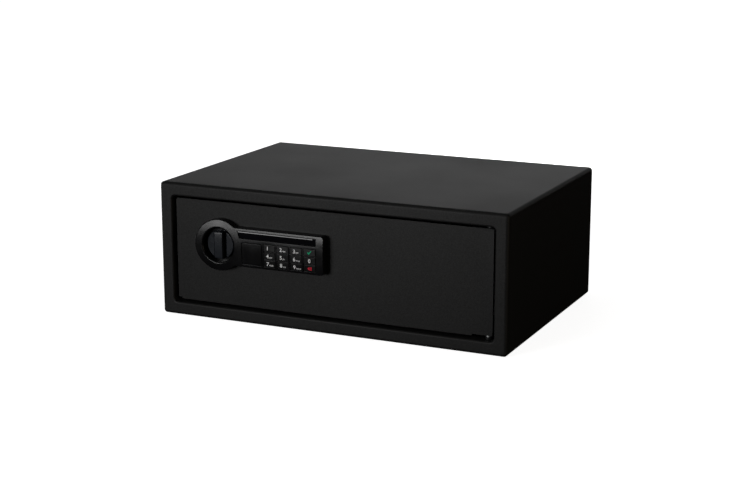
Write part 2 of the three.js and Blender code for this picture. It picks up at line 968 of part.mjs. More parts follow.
// Control board with its chips, buzzer and the switch under the reset button
function controlBoard() {
  const board = prism(
    "y",
    rect(controlLeft, controlRight, controlBottom, controlBottom + controlHeight),
    controlFrontY,
    controlBackY,
  );
  const partShares = [
    [0.3, 0.62, 0.34, 0.2],
    [0.7, 0.66, 0.16, 0.14],
    [0.32, 0.28, 0.2, 0.22],
  ];
  const chips = partShares.map(([u, v, wide, high]) => {
    const x = controlLeft + u * controlWidth;
    const z = controlBottom + v * controlHeight;
    const halfWide = (wide * controlWidth) / 2;
    const halfHigh = (high * controlHeight) / 2;
    return prism(
      "y",
      rect(x - halfWide, x + halfWide, z - halfHigh, z + halfHigh),
      controlBackY - controlSheet / 2,
      controlBackY + chipHeight,
    );
  });
  const buzzer = prism(
    "y",
    circle(controlRight - controlWidth / 4, controlBottom + (controlHeight * 7) / 8, switchSize / 2),
    controlBackY - controlSheet / 2,
    controlBackY + switchHeight,
  );
  const half = switchSize / 2;
  const resetSwitch = prism(
    "y",
    rect(buttonX - half, buttonX + half, buttonZ - half, buttonZ + half),
    controlBackY - controlSheet / 2,
    controlBackY + switchHeight,
  );
  return join(board, ...chips, buzzer, resetSwitch);
}

// Reset button: a stem held in the cover's hole by its collar
function resetButton() {
  const tip = controlBackY + switchHeight + buttonTravel + fitGap;
  const collarBack = rearInnerY - fitGap;
  return turned("y", [buttonX, buttonZ], [
    [0, tip],
    [buttonRadius, tip],
    [buttonRadius, collarBack - buttonCollarSheet],
    [buttonCollar, collarBack - buttonCollarSheet],
    [buttonCollar, collarBack],
    [buttonRadius, collarBack],
    [buttonRadius, rearBackY + buttonProud],
    [0, rearBackY + buttonProud],
  ]);
}

// Solenoid frame: a bent strap with a foot on the door and a plate above and below the coil
function solenoidFrame() {
  const left = plungerX - solenoidWidth / 2;
  const right = plungerX + solenoidWidth / 2;
  const front = plungerY - solenoidDepth / 2;
  const back = plungerY + solenoidDepth / 2;
  const foot = prism(
    "x",
    rect(
      doorBack,
      doorBack + solenoidSheet,
      solenoidBottom - solenoidFoot,
      solenoidBottom + solenoidSheet,
    ),
    left,
    right,
  );
  const lowerPlate = prism(
    "x",
    rect(doorBack, back, solenoidBottom, solenoidBottom + solenoidSheet),
    left,
    right,
  );
  const web = prism("x", rect(front, front + solenoidSheet, solenoidBottom, solenoidTop), left, right);
  const upperPlate = prism("x", rect(front, back, solenoidTop - solenoidSheet, solenoidTop), left, right);
  const bore = prism(
    "z",
    circle(plungerX, plungerY, plungerRadius + plungerPlay),
    solenoidTop - solenoidSheet - overrun,
    solenoidTop + overrun,
  );
  return cut(join(foot, lowerPlate, web, upperPlate), bore);
}

// Solenoid coil: a bobbin with its winding, open at the top for the plunger
function solenoidCoil() {
  const bottom = solenoidBottom + solenoidSheet;
  const top = solenoidTop - solenoidSheet - fitGap;
  const bore = plungerRadius + plungerPlay;
  const flange = solenoidSheet;
  return turned("z", [plungerX, plungerY], [
    [0, bottom],
    [coilRadius, bottom],
    [coilRadius, bottom + flange],
    [coilRadius - flange / 2, bottom + flange],
    [coilRadius - flange / 2, top - flange],
    [coilRadius, top - flange],
    [coilRadius, top],
    [bore, top],
    [bore, plungerBottom - collarSheet],
    [0, plungerBottom - collarSheet],
  ]);
}

// Plunger: rises behind the bolt bar's tongue, or into its notch
function solenoidPlunger() {
  return turned("z", [plungerX, plungerY], [
    [0, plungerBottom],
    [plungerRadius, plungerBottom],
    [plungerRadius, collarTop - collarSheet],
    [collarRadius, collarTop - collarSheet],
    [collarRadius, collarTop],
    [plungerRadius, collarTop],
    [plungerRadius, plungerTop],
    [0, plungerTop],
  ]);
}

// Return spring round the plunger, as one coiled wire
function plungerSpring() {
  const low = solenoidTop + fitGap + springWire;
  const high = collarTop - collarSheet - fitGap - springWire;
  const count = springTurns * springSteps;
  const route = Array.from({ length: count + 1 }, (_, i) => {
    const angle = (2 * Math.PI * i) / springSteps;
    return [
      plungerX + springRadius * Math.cos(angle),
      plungerY + springRadius * Math.sin(angle),
      low + ((high - low) * i) / count,
    ];
  });
  return lead(route, springWire, count, springSides);
}

add("door", "door_plate", doorPlate(), coatedSteel);
add("door", "hinge_block_lower", hingeBlock(true), coatedSteel);
add("door", "hinge_block_upper", hingeBlock(false), coatedSteel);
add("door", "hinge_pin_lower", hingePin(true), zincSteel);
add("door", "hinge_pin_upper", hingePin(false), zincSteel);
add("door", "bolt_guide", boltGuide(), zincSteel);
add("door", "rear_cover", rearCover(), coatedSteel);
earPlaces().forEach((place, i) => add("door", `cover_nut_${i + 1}`, coverNut(place), zincSteel));
add("door", "battery_tray", batteryTray(), darkPlastic);
for (let i = 0; i < cellCount; i++) add("door", `battery_${i + 1}`, batteryCell(i), cellSleeve);
add("door", "battery_lid", batteryLid(), darkPlastic);
add("door", "control_board", controlBoard(), boardGreen);
add("door", "reset_button", resetButton(), redPlastic);
add("door", "solenoid_frame", solenoidFrame(), zincSteel);
add("door", "solenoid_coil", solenoidCoil(), copperCoil);
add("door", "solenoid_plunger", solenoidPlunger(), brightSteel);
add("door", "plunger_spring", plungerSpring(), brightSteel);

// Bolt bar: a bent plate with a flange behind the bolts, a slot for the cam and a blocking tongue
function boltBar() {
  const bottom = boltHeights[0] - barMargin;
  const top = boltHeights[1] + barMargin;
  const right = knobX + tongueReach;
  const tongueTop = knobZ + tongueAbove;
  const flange = prism("y", rect(boltEndX, boltEndX + barSheet, bottom, top), boltY - boltRadius, webBack);
  const web = prism(
    "y",
    [
      [boltEndX, bottom],
      [boltEndX + barColumn, bottom],
      [boltEndX + barColumn, tongueBottom],
      [right, tongueBottom],
      [right, tongueTop],
      [boltEndX + barColumn, tongueTop],
      [boltEndX + barColumn, top],
      [boltEndX, top],
    ],
    webFront,
    webBack,
  );
  const crankX = crankRadius * Math.SQRT1_2;
  const slotHalf = crankPinRadius + crankPlay;
  const slot = prism(
    "y",
    roundedRect(
      knobX + crankX - slotHalf,
      knobX + crankX + slotHalf,
      knobZ + crankX - slotHalf,
      knobZ + crankRadius + slotHalf,
      slotHalf - leastRadius,
    ),
    webFront - overrun,
    webBack + overrun,
  );
  const notch = prism(
    "y",
    rect(
      plungerX - notchWidth / 2,
      plungerX + notchWidth / 2,
      tongueBottom - overrun,
      tongueBottom + notchRise,
    ),
    webFront - overrun,
    webBack + overrun,
  );
  return cut(join(flange, web), slot, notch);
}

// Live bolts: turned bars with a chamfered nose
function liveBolt(z) {
  return turned(
    "x",
    [boltY, z],
    [
      [0, boltTipX],
      [boltRadius - boltChamfer, boltTipX],
      [boltRadius, boltTipX + boltChamfer],
      [boltRadius, boltEndX],
      [0, boltEndX],
    ],
    knobSides / 2,
  );
}

add("boltwork", "bolt_bar", boltBar(), zincSteel);
add("boltwork", "bolt_lower", liveBolt(boltHeights[0]), brightSteel);
add("boltwork", "bolt_upper", liveBolt(boltHeights[1]), brightSteel);

// Knob: a disc sunk in its well with an upright grip between two scoops
function knobBody() {
  const front = crownY + knobSink;
  const back = wellBackY - fitGap;
  const gripFront = crownY + gripSink;
  const disc = turned(
    "y",
    [knobX, knobZ],
    [
      [0, front],
      [knobRadius - knobEdge, front],
      [knobRadius, front + knobEdge],
      [knobRadius, back],
      [0, back],
    ],
    knobSides,
  );
  const half = gripWidth / 2;
  const scoopY = front + scoopDepthShare * (back - front) - scoopRadius;
  const scoops = [-1, 1].map((side) =>
    prism(
      "z",
      circle(knobX + side * (half - knobEdge), scoopY, scoopRadius),
      knobZ - knobRadius - overrun,
      knobZ + knobRadius + overrun,
    ),
  );
  const end = Math.sqrt((knobRadius - gripEndGap) ** 2 - half ** 2);
  const side = [
    [back + knobEdge, -end],
    [back + knobEdge, end],
    [gripFront + gripEndChamfer, end],
    [gripFront, end - gripEndChamfer],
    [gripFront, -end + gripEndChamfer],
    [gripFront + gripEndChamfer, -end],
  ].map(([y, z]) => [y, knobZ + z]);
  const grip = prism("x", side.reverse(), knobX - half, knobX + half);
  const softEdges = prism(
    "z",
    [
      [knobX - half + gripEdge, gripFront - fitGap / 3],
      [knobX + half - gripEdge, gripFront - fitGap / 3],
      [knobX + half, gripFront + gripEdge],
      [knobX + half, back],
      [knobX - half, back],
      [knobX - half, gripFront + gripEdge],
    ],
    knobZ - knobRadius,
    knobZ + knobRadius,
  );
  const bore = prism(
    "y",
    circle(knobX, knobZ, spindleRadius + fitGap),
    back - spindleSink,
    back + overrun,
  );
  return cut(join(cut(disc, ...scoops), grip.intersect(softEdges)), bore);
}

// Spindle from the knob through the door to the cam
function knobSpindle() {
  const front = wellBackY - spindleSink;
  return turned("y", [knobX, knobZ], [
    [0, front],
    [spindleRadius, front],
    [spindleRadius, camFront],
    [spindleStub, camFront],
    [spindleStub, camBack],
    [0, camBack],
  ]);
}

// Bolt cam: a hub and arm whose crank pin works in the bolt bar's slot
function boltCam() {
  const crank = crankRadius * Math.SQRT1_2;
  const nose = crankPinRadius + crankWall;
  const hub = prism("y", circle(knobX, knobZ, camHub, knobSides / 2), camFront, camBack);
  const end = prism("y", circle(knobX + crank, knobZ + crank, nose), camFront, camBack);
  const across = nose * Math.SQRT1_2;
  const arm = prism(
    "y",
    [
      [knobX + across, knobZ - across],
      [knobX + crank + across, knobZ + crank - across],
      [knobX + crank - across, knobZ + crank + across],
      [knobX - across, knobZ + across],
    ],
    camFront,
    camBack,
  );
  const pin = prism(
    "y",
    circle(knobX + crank, knobZ + crank, crankPinRadius),
    camFront + camSheet / 2,
    webBack + overrun,
  );
  const bore = prism("y", circle(knobX, knobZ, spindleStub + fitGap), camFront - overrun, camBack + overrun);
  return cut(join(hub, end, arm, pin), bore);
}

// Flanged bush that the spindle turns in
function spindleBush() {
  const bore = spindleRadius + fitGap;
  const outer = bore + bushWall;
  return turned("y", [knobX, knobZ], [
    [bore, doorFront],
    [outer, doorFront],
    [outer, doorBack],
    [outer + bushFlange, doorBack],
    [outer + bushFlange, doorBack + bushFlangeSheet],
    [bore, doorBack + bushFlangeSheet],
    [bore, doorFront],
  ]);
}

add("knob", "knob", knobBody(), greyPlastic);
add("knob", "knob_spindle", knobSpindle(), brightSteel);
add("knob", "bolt_cam", boltCam(), zincSteel);
add("door", "spindle_bush", spindleBush(), darkPlastic);

// Outline of the lock module, drawn in from its outside: a ring run into a bar by concave necks
function moduleOutline(inset) {
  const ring = ringRadius - inset;
  const neck = neckFillet + inset;
  const top = barTop - inset;
  const bottom = barBottom + inset;
  const right = barRight - inset;
  const corner = Math.max(barCorner - inset, leastRadius);
  const reach = ring + neck;
  const rise = top + neck - knobZ;
  const drop = knobZ - bottom + neck;
  const run = Math.sqrt(reach ** 2 - rise ** 2);
  const lowRun = Math.sqrt(reach ** 2 - drop ** 2);
  const angle = THREE.MathUtils.radToDeg(Math.atan2(rise, run));
  const lowAngle = THREE.MathUtils.radToDeg(Math.atan2(drop, lowRun));
  return [
    ...arc(knobX, knobZ, ring, angle, 360 - lowAngle, ringSteps),
    ...arc(knobX + lowRun, knobZ - drop, neck, 180 - lowAngle, 90, neckSteps).slice(1),
    ...arc(right - corner, bottom + corner, corner, -90, 0, cornerSteps),
    ...arc(right - corner, top - corner, corner, 0, 90, cornerSteps),
    ...arc(knobX + run, knobZ + rise, neck, -90, angle - 180, neckSteps).slice(0, -1),
  ];
}

// Slot over the keys, slanted at the end by the ring
function slotOutline(inset) {
  const right = barRight - slotFromEnd - inset;
  const left = barRight - slotFromEnd - slotLength + inset;
  const top = barTop - slotFromTop - inset;
  const bottom = top - slotHeight + 2 * inset;
  return [
    [left + slotSlant, bottom],
    [right, bottom],
    [right, top],
    [left, top],
  ];
}

function keyPlaces() {
  return Array.from({ length: keyRows * keyColumns }, (_, i) => ({
    x: keyFirstX + (i % keyColumns) * keyPitchX,
    z: keyFirstZ - Math.floor(i / keyColumns) * keyPitchZ,
  }));
}

function keyOutline({ x, z }, grown) {
  return roundedRect(
    x - keyWidth / 2 - grown,
    x + keyWidth / 2 + grown,
    z - keyHeight / 2 - grown,
    z + keyHeight / 2 + grown,
    keyCorner + grown,
    2,
  );
}

function coverOutline(grown) {
  return roundedRect(
    coverX - coverWidth / 2 - grown,
    coverX + coverWidth / 2 + grown,
    coverZ - coverHeight / 2 - grown,
    coverZ + coverHeight / 2 + grown,
    coverCorner + grown,
  );
}

// The space behind the module's barrelled face
function behindFace(lift) {
  const low = knobZ - ringRadius - overrun;
  const high = knobZ + ringRadius + overrun;
  const curve = Array.from({ length: barrelSteps + 1 }, (_, i) => {
    const z = high + ((low - high) * i) / barrelSteps;
    return [crownY + faceSag(z) - lift, z];
  });
  const outline = [...curve, [doorBack, low], [doorBack, high]];
  return prism("x", outline, knobX - ringRadius - overrun, barRight + overrun);
}

// Module housing: a moulded shell with a knob well, a slot, key windows and the key cover's pocket
function moduleHousing() {
  const onFace = (offset) => (z) => crownY + faceSag(z) + offset;
  const block = loft([
    { points: moduleOutline(moduleEdge), at: crownY - overrun },
    ...quarterRound(moduleEdge).map(({ depth, inset }) => ({
      points: moduleOutline(inset),
      at: onFace(depth),
    })),
    { points: moduleOutline(0), at: doorFront },
  ]).intersect(behindFace(faceLift));
  const hollow = prism("y", moduleOutline(moduleWall), ceilingY, doorFront + overrun);
  const well = prism(
    "y",
    circle(knobX, knobZ, wellRadius + moduleWall, knobSides),
    ceilingY - overrun,
    doorFront,
  );
  const pocket = prism("y", coverOutline(fitGap + pocketWall), ceilingY - overrun, pocketY + pocketWall);
  const posts = postPlaces().flatMap(([x, z]) => [
    prism("y", circle(x, z, postRadius), ceilingY - overrun, doorBack + postHeadSheet),
    prism("y", circle(x, z, postHead), doorBack, doorBack + postHeadSheet),
  ]);
  const wellCut = loft([
    { points: circle(knobX, knobZ, wellRadius + wellChamfer, knobSides), at: crownY - overrun },
    { points: circle(knobX, knobZ, wellRadius + wellChamfer, knobSides), at: onFace(0) },
    { points: circle(knobX, knobZ, wellRadius, knobSides), at: onFace(wellChamfer) },
    { points: circle(knobX, knobZ, wellRadius, knobSides), at: wellBackY },
  ]);
  const spindleHole = prism(
    "y",
    circle(knobX, knobZ, spindleRadius + overrun),
    wellBackY - overrun,
    doorFront + overrun,
  );
  const slot = prism("y", slotOutline(0), crownY - overrun, ceilingY + overrun);
  const windows = keyPlaces().map((place) =>
    prism("y", keyOutline(place, fitGap), crownY - overrun, ceilingY + overrun),
  );
  const coverCut = prism("y", coverOutline(fitGap), crownY - overrun, pocketY);
  const lockHole = prism(
    "y",
    circle(coverX, coverZ, lockRadius + fitGap),
    crownY,
    pocketY + pocketWall + overrun,
  );
  return cut(
    join(cut(block, hollow), well, pocket, ...posts),
    wellCut,
    spindleHole,
    slot,
    ...windows,
    coverCut,
    lockHole,
  );
}

// Indicator lens: a glossy bar behind the slot, chamfered along its top
function indicatorLens() {
  const outline = slotOutline(fitGap);
  const front = crownY + lensSink;
  const [, , [right, top]] = outline;
  const bottom = outline[0][1];
  const section = [
    [front, bottom],
    [ceilingY + lensSheet / 2, bottom],
    [ceilingY + lensSheet / 2, top],
    [front + lensChamfer, top],
    [front, top - lensChamfer],
  ];
  const bar = prism("x", section, outline[3][0], right).intersect(
    prism("y", outline, front - overrun, ceilingY + lensSheet),
  );
  const flange = prism("y", slotOutline(-lensFlange), ceilingY, ceilingY + lensSheet);
  return join(bar, flange);
}

// Keypad membrane: a mat with a rim against the housing and a dome under each key
function keypadMembrane() {
  const { left, right, bottom, top } = keypadBox();
  const mat = prism("y", rect(left, right, bottom, top), membraneFrontY, membraneBackY);
  const rim = cut(
    prism("y", rect(left, right, bottom, top), ceilingY, membraneFrontY + membraneSheet / 2),
    prism(
      "y",
      rect(left + membraneRim, right - membraneRim, bottom - overrun, top - membraneRim),
      ceilingY - overrun,
      membraneFrontY + membraneSheet,
    ),
  );
  const domes = keyPlaces().map(({ x, z }) =>
    turned(
      "y",
      [x, z],
      [
        [0, domeFrontY],
        [domeTip, domeFrontY],
        [domeRadius, membraneFrontY],
        [domeRadius, membraneFrontY + membraneSheet / 2],
        [0, membraneFrontY + membraneSheet / 2],
      ],
      8,
    ),
  );
  return join(mat, rim, ...domes);
}

// Box that the membrane and the keypad board share
function keypadBox() {
  const edge = membraneMargin + membraneRim;
  return {
    left: keyFirstX - keyWidth / 2 - edge,
    right: keyFirstX + (keyColumns - 1) * keyPitchX + keyWidth / 2 + edge,
    bottom: barBottom + moduleWall + fitGap,
    top: keyFirstZ + keyHeight / 2 + edge,
  };
}

function keypadBoard() {
  const { left, right, bottom, top } = keypadBox();
  return prism("y", rect(left, right, bottom, top), membraneBackY, keypadBackY);
}

// Keys: pads with pillowed edges that stand just proud of the face
function keyPad(place) {
  const front = crownY + faceSag(place.z) - keyProud;
  return loft([
    { points: keyOutline(place, -keyPillow), at: front },
    { points: keyOutline(place, -keyPillow / 3), at: front + keyPillow / 3 },
    { points: keyOutline(place, 0), at: front + keyPillow },
    { points: keyOutline(place, 0), at: keyBackY },
  ]);
}

// Key cover: a square cap that clips over the override lock and follows the face
function keyCover() {
  const back = crownY + coverSheet;
  const cap = prism("y", coverOutline(0), crownY - overrun, back).intersect(behindFace(0));
  const legs = [-1, 1].flatMap((u) =>
    [-1, 1].map((v) =>
      prism(
        "y",
        circle(
          coverX + u * (coverWidth / 2 - coverLegInset),
          coverZ + v * (coverHeight / 2 - coverLegInset),
          coverLegRadius,
          8,
        ),
        back - coverSheet / 3,
        pocketY - fitGap,
      ),
    ),
  );
  return join(cap, ...legs);
}

// Override lock: a barrel held by its nut behind the door
function overrideLockBody() {
  const back = camFront - tailSheet / 2;
  return turned(
    "y",
    [coverX, coverZ],
    [
      [plugRadius + fitGap, pocketY],
      [lockRadius, pocketY],
      [lockRadius, doorBack],
      [lockRadius + fitGap, doorBack],
      [lockRadius + fitGap, doorBack + lockNutSheet],
      [lockRadius, doorBack + lockNutSheet],
      [lockRadius, back],
      [plugRadius + fitGap, back],
      [plugRadius + fitGap, pocketY],
    ],
    knobSides / 2,
  ).add(
    cut(
      prism("y", circle(coverX, coverZ, lockNut, 6), doorBack, doorBack + lockNutSheet),
      prism(
        "y",
        circle(coverX, coverZ, lockRadius - fitGap),
        doorBack - overrun,
        doorBack + lockNutSheet + overrun,
      ),
    ),
  );
}

// Plug of the override lock, with its keyway and the tail that hangs behind
function overrideLockPlug() {
  const front = pocketY + fitGap;
  const back = camFront - tailSheet / 2 + fitGap;
  const plug = prism("y", circle(coverX, coverZ, plugRadius, knobSides / 2), front, back + tailSheet / 2);
  const keyway = prism(
    "y",
    rect(
      coverX - keywayWidth / 2,
      coverX + keywayWidth / 2,
      coverZ - keywayHeight / 2,
      coverZ + keywayHeight / 2,
    ),
    front - overrun,
    front + keywayDepth,
  );
  const tail = prism(
    "y",
    roundedRect(
      coverX - tailWidth / 2,
      coverX + tailWidth / 2,
      coverZ - tailLength,
      coverZ + plugRadius,
      tailWidth / 3,
    ),
    back,
    back + tailSheet,
  );
  return cut(join(plug, tail), keyway);
}

// Leads: keypad to board through the door, and board to batteries and coil
function keypadLead() {
  const front = keypadBackY + fitGap;
  const back = controlFrontY - fitGap;
  const bend = leadHoleRadius / 2;
  const landing = (controlLeft + controlRight) / 2;
  return lead(
    [
      [leadX - bend, front, leadZ],
      [leadX - bend, front + (doorFront - front) / 2, leadZ],
      [leadX, (doorFront + doorBack) / 2, leadZ],
      [leadX, doorBack + 2 * keypadLeadRadius, leadZ],
      [landing, back - 2 * keypadLeadRadius, leadZ],
      [landing, back, leadZ],
    ],
    keypadLeadRadius,
  );
}

function batteryLead() {
  const start = trayLeft - trayWall - fitGap;
  const end = controlBackY + fitGap;
  const high = (rearInnerY + controlBackY) / 2;
  const z = controlBottom + controlHeight / 2;
  return lead(
    [
      [start, high, z],
      [start - controlFromTray / 2, high, z],
      [controlRight - controlFromTray / 2, (high + end) / 2, z],
      [controlRight - controlFromTray, end + (high - end) / 4, z],
      [controlRight - controlFromTray, end, z],
    ],
    powerLeadRadius,
  );
}

function solenoidLead() {
  const start = plungerX + coilRadius + fitGap;
  const end = controlBackY + fitGap;
  const z = (solenoidBottom + solenoidTop) / 2;
  const landing = controlLeft + standoffInset;
  return lead(
    [
      [start, plungerY, z],
      [start + solenoidWidth / 3, plungerY, z],
      [(start + landing) / 2, (plungerY + end) / 2, z],
      [landing, end + (plungerY - end) / 3, z],
      [landing, end, z],
    ],
    powerLeadRadius,
  );
}

add("lock", "module_housing", moduleHousing(), blackPlastic);
add("lock", "indicator_lens", indicatorLens(), glossBlack);
add("lock", "key_cover", keyCover(), blackPlastic);
add("lock", "override_lock_body", overrideLockBody(), brassMetal);
add("lock", "override_lock_plug", overrideLockPlug(), brassMetal);
add("keypad", "keypad_membrane", keypadMembrane(), darkPlastic);
add("keypad", "keypad_board", keypadBoard(), boardGreen);
const keyNames = ["1", "2", "3", "enter", "4", "5", "6", "0", "7", "8", "9", "clear"];
keyPlaces().forEach((place, i) => add("keypad", `key_${keyNames[i]}`, keyPad(place), keyRubber));
add("door", "keypad_lead", keypadLead(), leadSheath);
add("door", "battery_lead", batteryLead(), leadSheath);
add("door", "solenoid_lead", solenoidLead(), leadSheath);

export default safe;
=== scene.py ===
import json
import math

import bpy
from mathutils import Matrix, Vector


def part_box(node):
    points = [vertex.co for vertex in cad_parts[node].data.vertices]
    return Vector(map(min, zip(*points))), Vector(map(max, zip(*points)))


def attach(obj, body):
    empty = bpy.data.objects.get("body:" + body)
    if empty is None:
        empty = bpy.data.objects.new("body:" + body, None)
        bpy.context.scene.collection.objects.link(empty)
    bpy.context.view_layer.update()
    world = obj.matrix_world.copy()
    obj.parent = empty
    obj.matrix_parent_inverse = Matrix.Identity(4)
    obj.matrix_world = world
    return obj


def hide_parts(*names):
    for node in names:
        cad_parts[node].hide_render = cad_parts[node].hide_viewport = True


bl_info = {
    "name": "Wide electronic safe",
    "version": (1, 0, 0),
    "blender": (4, 5, 0),
    "location": "View3D > Sidebar > Safe",
    "description": "Models and finishes a wide steel safe with a keypad lock module",
    "category": "Object",
}

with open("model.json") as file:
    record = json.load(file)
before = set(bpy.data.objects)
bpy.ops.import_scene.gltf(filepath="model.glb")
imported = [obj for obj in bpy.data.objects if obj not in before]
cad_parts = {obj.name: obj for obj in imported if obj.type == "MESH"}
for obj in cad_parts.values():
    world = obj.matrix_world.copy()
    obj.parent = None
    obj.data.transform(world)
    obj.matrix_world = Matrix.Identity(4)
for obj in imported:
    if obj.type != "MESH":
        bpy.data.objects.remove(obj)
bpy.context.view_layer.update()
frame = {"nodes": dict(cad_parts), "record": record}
MM = 0.001


def span(node):
    """Lowest and highest corner of a piece of the frame"""
    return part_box(node)


# Places read from the frame
SHELL_LOW, SHELL_HIGH = span("outer_shell")
FRAME_LOW, FRAME_HIGH = span("front_frame")
DOOR_HIGH = span("door_plate")[1]
MODULE_HIGH = span("module_housing")[1]
KNOB_LOW, KNOB_HIGH = span("knob")
COVER_LOW, COVER_HIGH = span("key_cover")
LENS_LOW, LENS_HIGH = span("indicator_lens")
PIN_LOW, PIN_HIGH = span("hinge_pin_lower")
PIN = ((PIN_LOW.x + PIN_HIGH.x) / 2, (PIN_LOW.y + PIN_HIGH.y) / 2)
KNOB_X = (KNOB_LOW.x + KNOB_HIGH.x) / 2
KNOB_Z = (KNOB_LOW.z + KNOB_HIGH.z) / 2
COVER_X = (COVER_LOW.x + COVER_HIGH.x) / 2
COVER_Z = (COVER_LOW.z + COVER_HIGH.z) / 2

# Every cut and joint runs over by this much, and places this close are one
OVERRUN = 1 * MM
CLOSE = 1e-6

# Sheet metal
SHEET = 1.6 * MM
BEND = 4.4 * MM
ANCHOR_X, ANCHOR_Y, ANCHOR_RADIUS = 150 * MM, 80 * MM, 5 * MM
FOLD_EDGE, PRESS_EDGE = 0.3 * MM, 0.25 * MM
RIM_EDGE = 4 * MM
RIM_BACK = FRAME_LOW.y + 4.5 * MM
RIM_WALL = 2 * MM
SEAM = 0.5 * MM
TONGUE_INSET, TONGUE_DEPTH = 1.9 * MM, 11 * MM
HOLLOW_INSET, HOLLOW_CORNER = 3.9 * MM, 0.5 * MM
LIP_EDGE = 2.2 * MM
OPENING_LEFT, OPENING_RIGHT = -209 * MM, 209 * MM
OPENING_BOTTOM, OPENING_TOP = 16 * MM, 149 * MM
OPENING_CORNER = 5 * MM
DOOR_FRONT, DOOR_BACK = -146.5 * MM, -143.5 * MM
NOTCH_WIDTH, NOTCH_HEIGHT = 25 * MM, 2 * MM
PIN_BORE, PIN_BORE_DEPTH = 2.8 * MM, 4 * MM
# Dark plastic rings round the hinge pins, as tall as needed to hide the pins in the door gaps:
# painted shade there
SHADE_RING_RADIUS, SHADE_RING_BORE = 4.1 * MM, 3.7 * MM
LOWER_SHADE_RING, UPPER_SHADE_RING = 2.8 * MM, 3.4 * MM

# Lock module
CROWN = -159 * MM
BARREL = 170 * MM
ROW, FIRST_ROW = 1.6 * MM, 0.37 * MM
RING = 31.6 * MM
NECK = 8 * MM
BAR_RIGHT = MODULE_HIGH.x
BAR_TOP = KNOB_Z + 23.8 * MM
BAR_BOTTOM = KNOB_Z - 23.35 * MM
BARREL_Z = (BAR_TOP + BAR_BOTTOM) / 2
BAR_CORNER = 4 * MM
MODULE_EDGE = 1 * MM
MODULE_WALL = 1.6 * MM
POST_RADIUS, POST_INSET, POST_REACH = 2 * MM, 5.2 * MM, 1.5 * MM
FLANGE, FLANGE_BORDER = 2 * MM, 1.5 * MM
CEILING = LENS_HIGH.y - FLANGE
GAP = 0.3 * MM
WELL = 21.2 * MM
WELL_CHAMFER = 2 * MM
WELL_BACK = KNOB_HIGH.y + GAP
SPINDLE_HOLE, LOCK_HOLE = 5 * MM, 9.3 * MM
POCKET = COVER_HIGH.y + GAP
POCKET_WALL = 1 * MM
SLOT_LEFT = BAR_RIGHT - 114.85 * MM
SLOT_RIGHT = BAR_RIGHT - 10.25 * MM
SLOT_TOP = BAR_TOP - 3.55 * MM
SLOT_BOTTOM = SLOT_TOP - 8.7 * MM
SLOT_SLANT = 3.3 * MM
SLOT_EDGE = 0.6 * MM

# Indicator lens
LENS_SLOPE, LENS_STEP = 1.6 * MM, 0.55 * MM
LENS_STOP, LENS_STOP_HEIGHT = 4.3 * MM, 3 * MM
LENS_EDGE = 0.12 * MM

# Knob
KNOB_RADIUS = 17.7 * MM
KNOB_FRONT = CROWN + 6.2 * MM
KNOB_EDGE = 0.8 * MM
KNOB_BORE, KNOB_BORE_DEPTH = 4.3 * MM, 6.5 * MM
GRIP_HALF, GRIP_INSET = 5.35 * MM, 0.4 * MM
GRIP_END_EDGE, GRIP_SIDE_EDGE = 1.4 * MM, 0.7 * MM
GRIP_ROW = 2 * MM
SCOOP, SCOOP_REACH, SCOOP_OVERLAP = 4.4 * MM, 30 * MM, 0.8 * MM
SCOOP_FLOOR = KNOB_FRONT + 0.7 * (KNOB_HIGH.y - KNOB_FRONT)

# Key cover
CAP_CORNER, CAP_EDGE = 1.5 * MM, 0.45 * MM
CAP_BACK = CROWN + 3.4 * MM
LEG_X, LEG_Z, LEG_RADIUS = 10.15 * MM, 9.9 * MM, 1.5 * MM

# Push buttons and their legends; a mark's outline is in millimetres from its key's middle
KEY_CORNER, KEY_EDGE = 1 * MM, 0.7 * MM
KEY_FRONT = 2 * MM
NUMERAL_SIZE, NUMERAL_MIDDLE = 6.4 * MM, 5.4 * MM
LETTER_SIZE, LETTER_LEFT = 2.2 * MM, 7.7 * MM
BASELINE = 2.4 * MM
INK_FRONT, INK_BACK, INK_HALF = 0.03 * MM, 0.02 * MM, 0.02 * MM
TICK = ((-2.6, 0.0), (-1.7, 0.8), (-0.8, -0.3), (2.0, 2.5), (2.7, 1.7), (-0.7, -2.1))
ARROW_HEAD = ((-3.0, 0.0), (-0.4, 2.1), (-0.4, -2.1))
ARROW_BAR = ((0.1, 2.1), (1.1, 2.1), (1.1, -2.1), (0.1, -2.1))
ARROW_END = ((1.6, 2.1), (2.6, 2.1), (2.6, -2.1), (1.6, -2.1))
MARKS = {"enter": ("tick", (TICK,)), "clear": ("clear_arrow", (ARROW_HEAD, ARROW_BAR, ARROW_END))}
KEY_NAMES = ("1", "2", "3", "enter", "4", "5", "6", "0", "7", "8", "9", "clear")
HARDWARE = (
    *("back_panel", "hinge_plate_lower", "hinge_plate_upper", "door_stop", "floor_mat"),
    *("hinge_block_lower", "hinge_block_upper", "hinge_pin_lower", "hinge_pin_upper"),
    *("bolt_guide", "bolt_bar", "bolt_lower", "bolt_upper", "rear_cover"),
    *("cover_nut_1", "cover_nut_2", "cover_nut_3", "cover_nut_4"),
    *("battery_tray", "battery_lid", "battery_1", "battery_2", "battery_3", "battery_4"),
    *("reset_button", "solenoid_frame", "solenoid_coil", "solenoid_plunger"),
    *("knob_spindle", "bolt_cam", "spindle_bush", "override_lock_body", "override_lock_plug"),
)
PHONE_LETTERS = {
    "2": "ABC",
    "3": "DEF",
    "4": "GHI",
    "5": "JKL",
    "6": "MNO",
    "7": "PQRS",
    "8": "TUV",
    "9": "WXYZ",
}

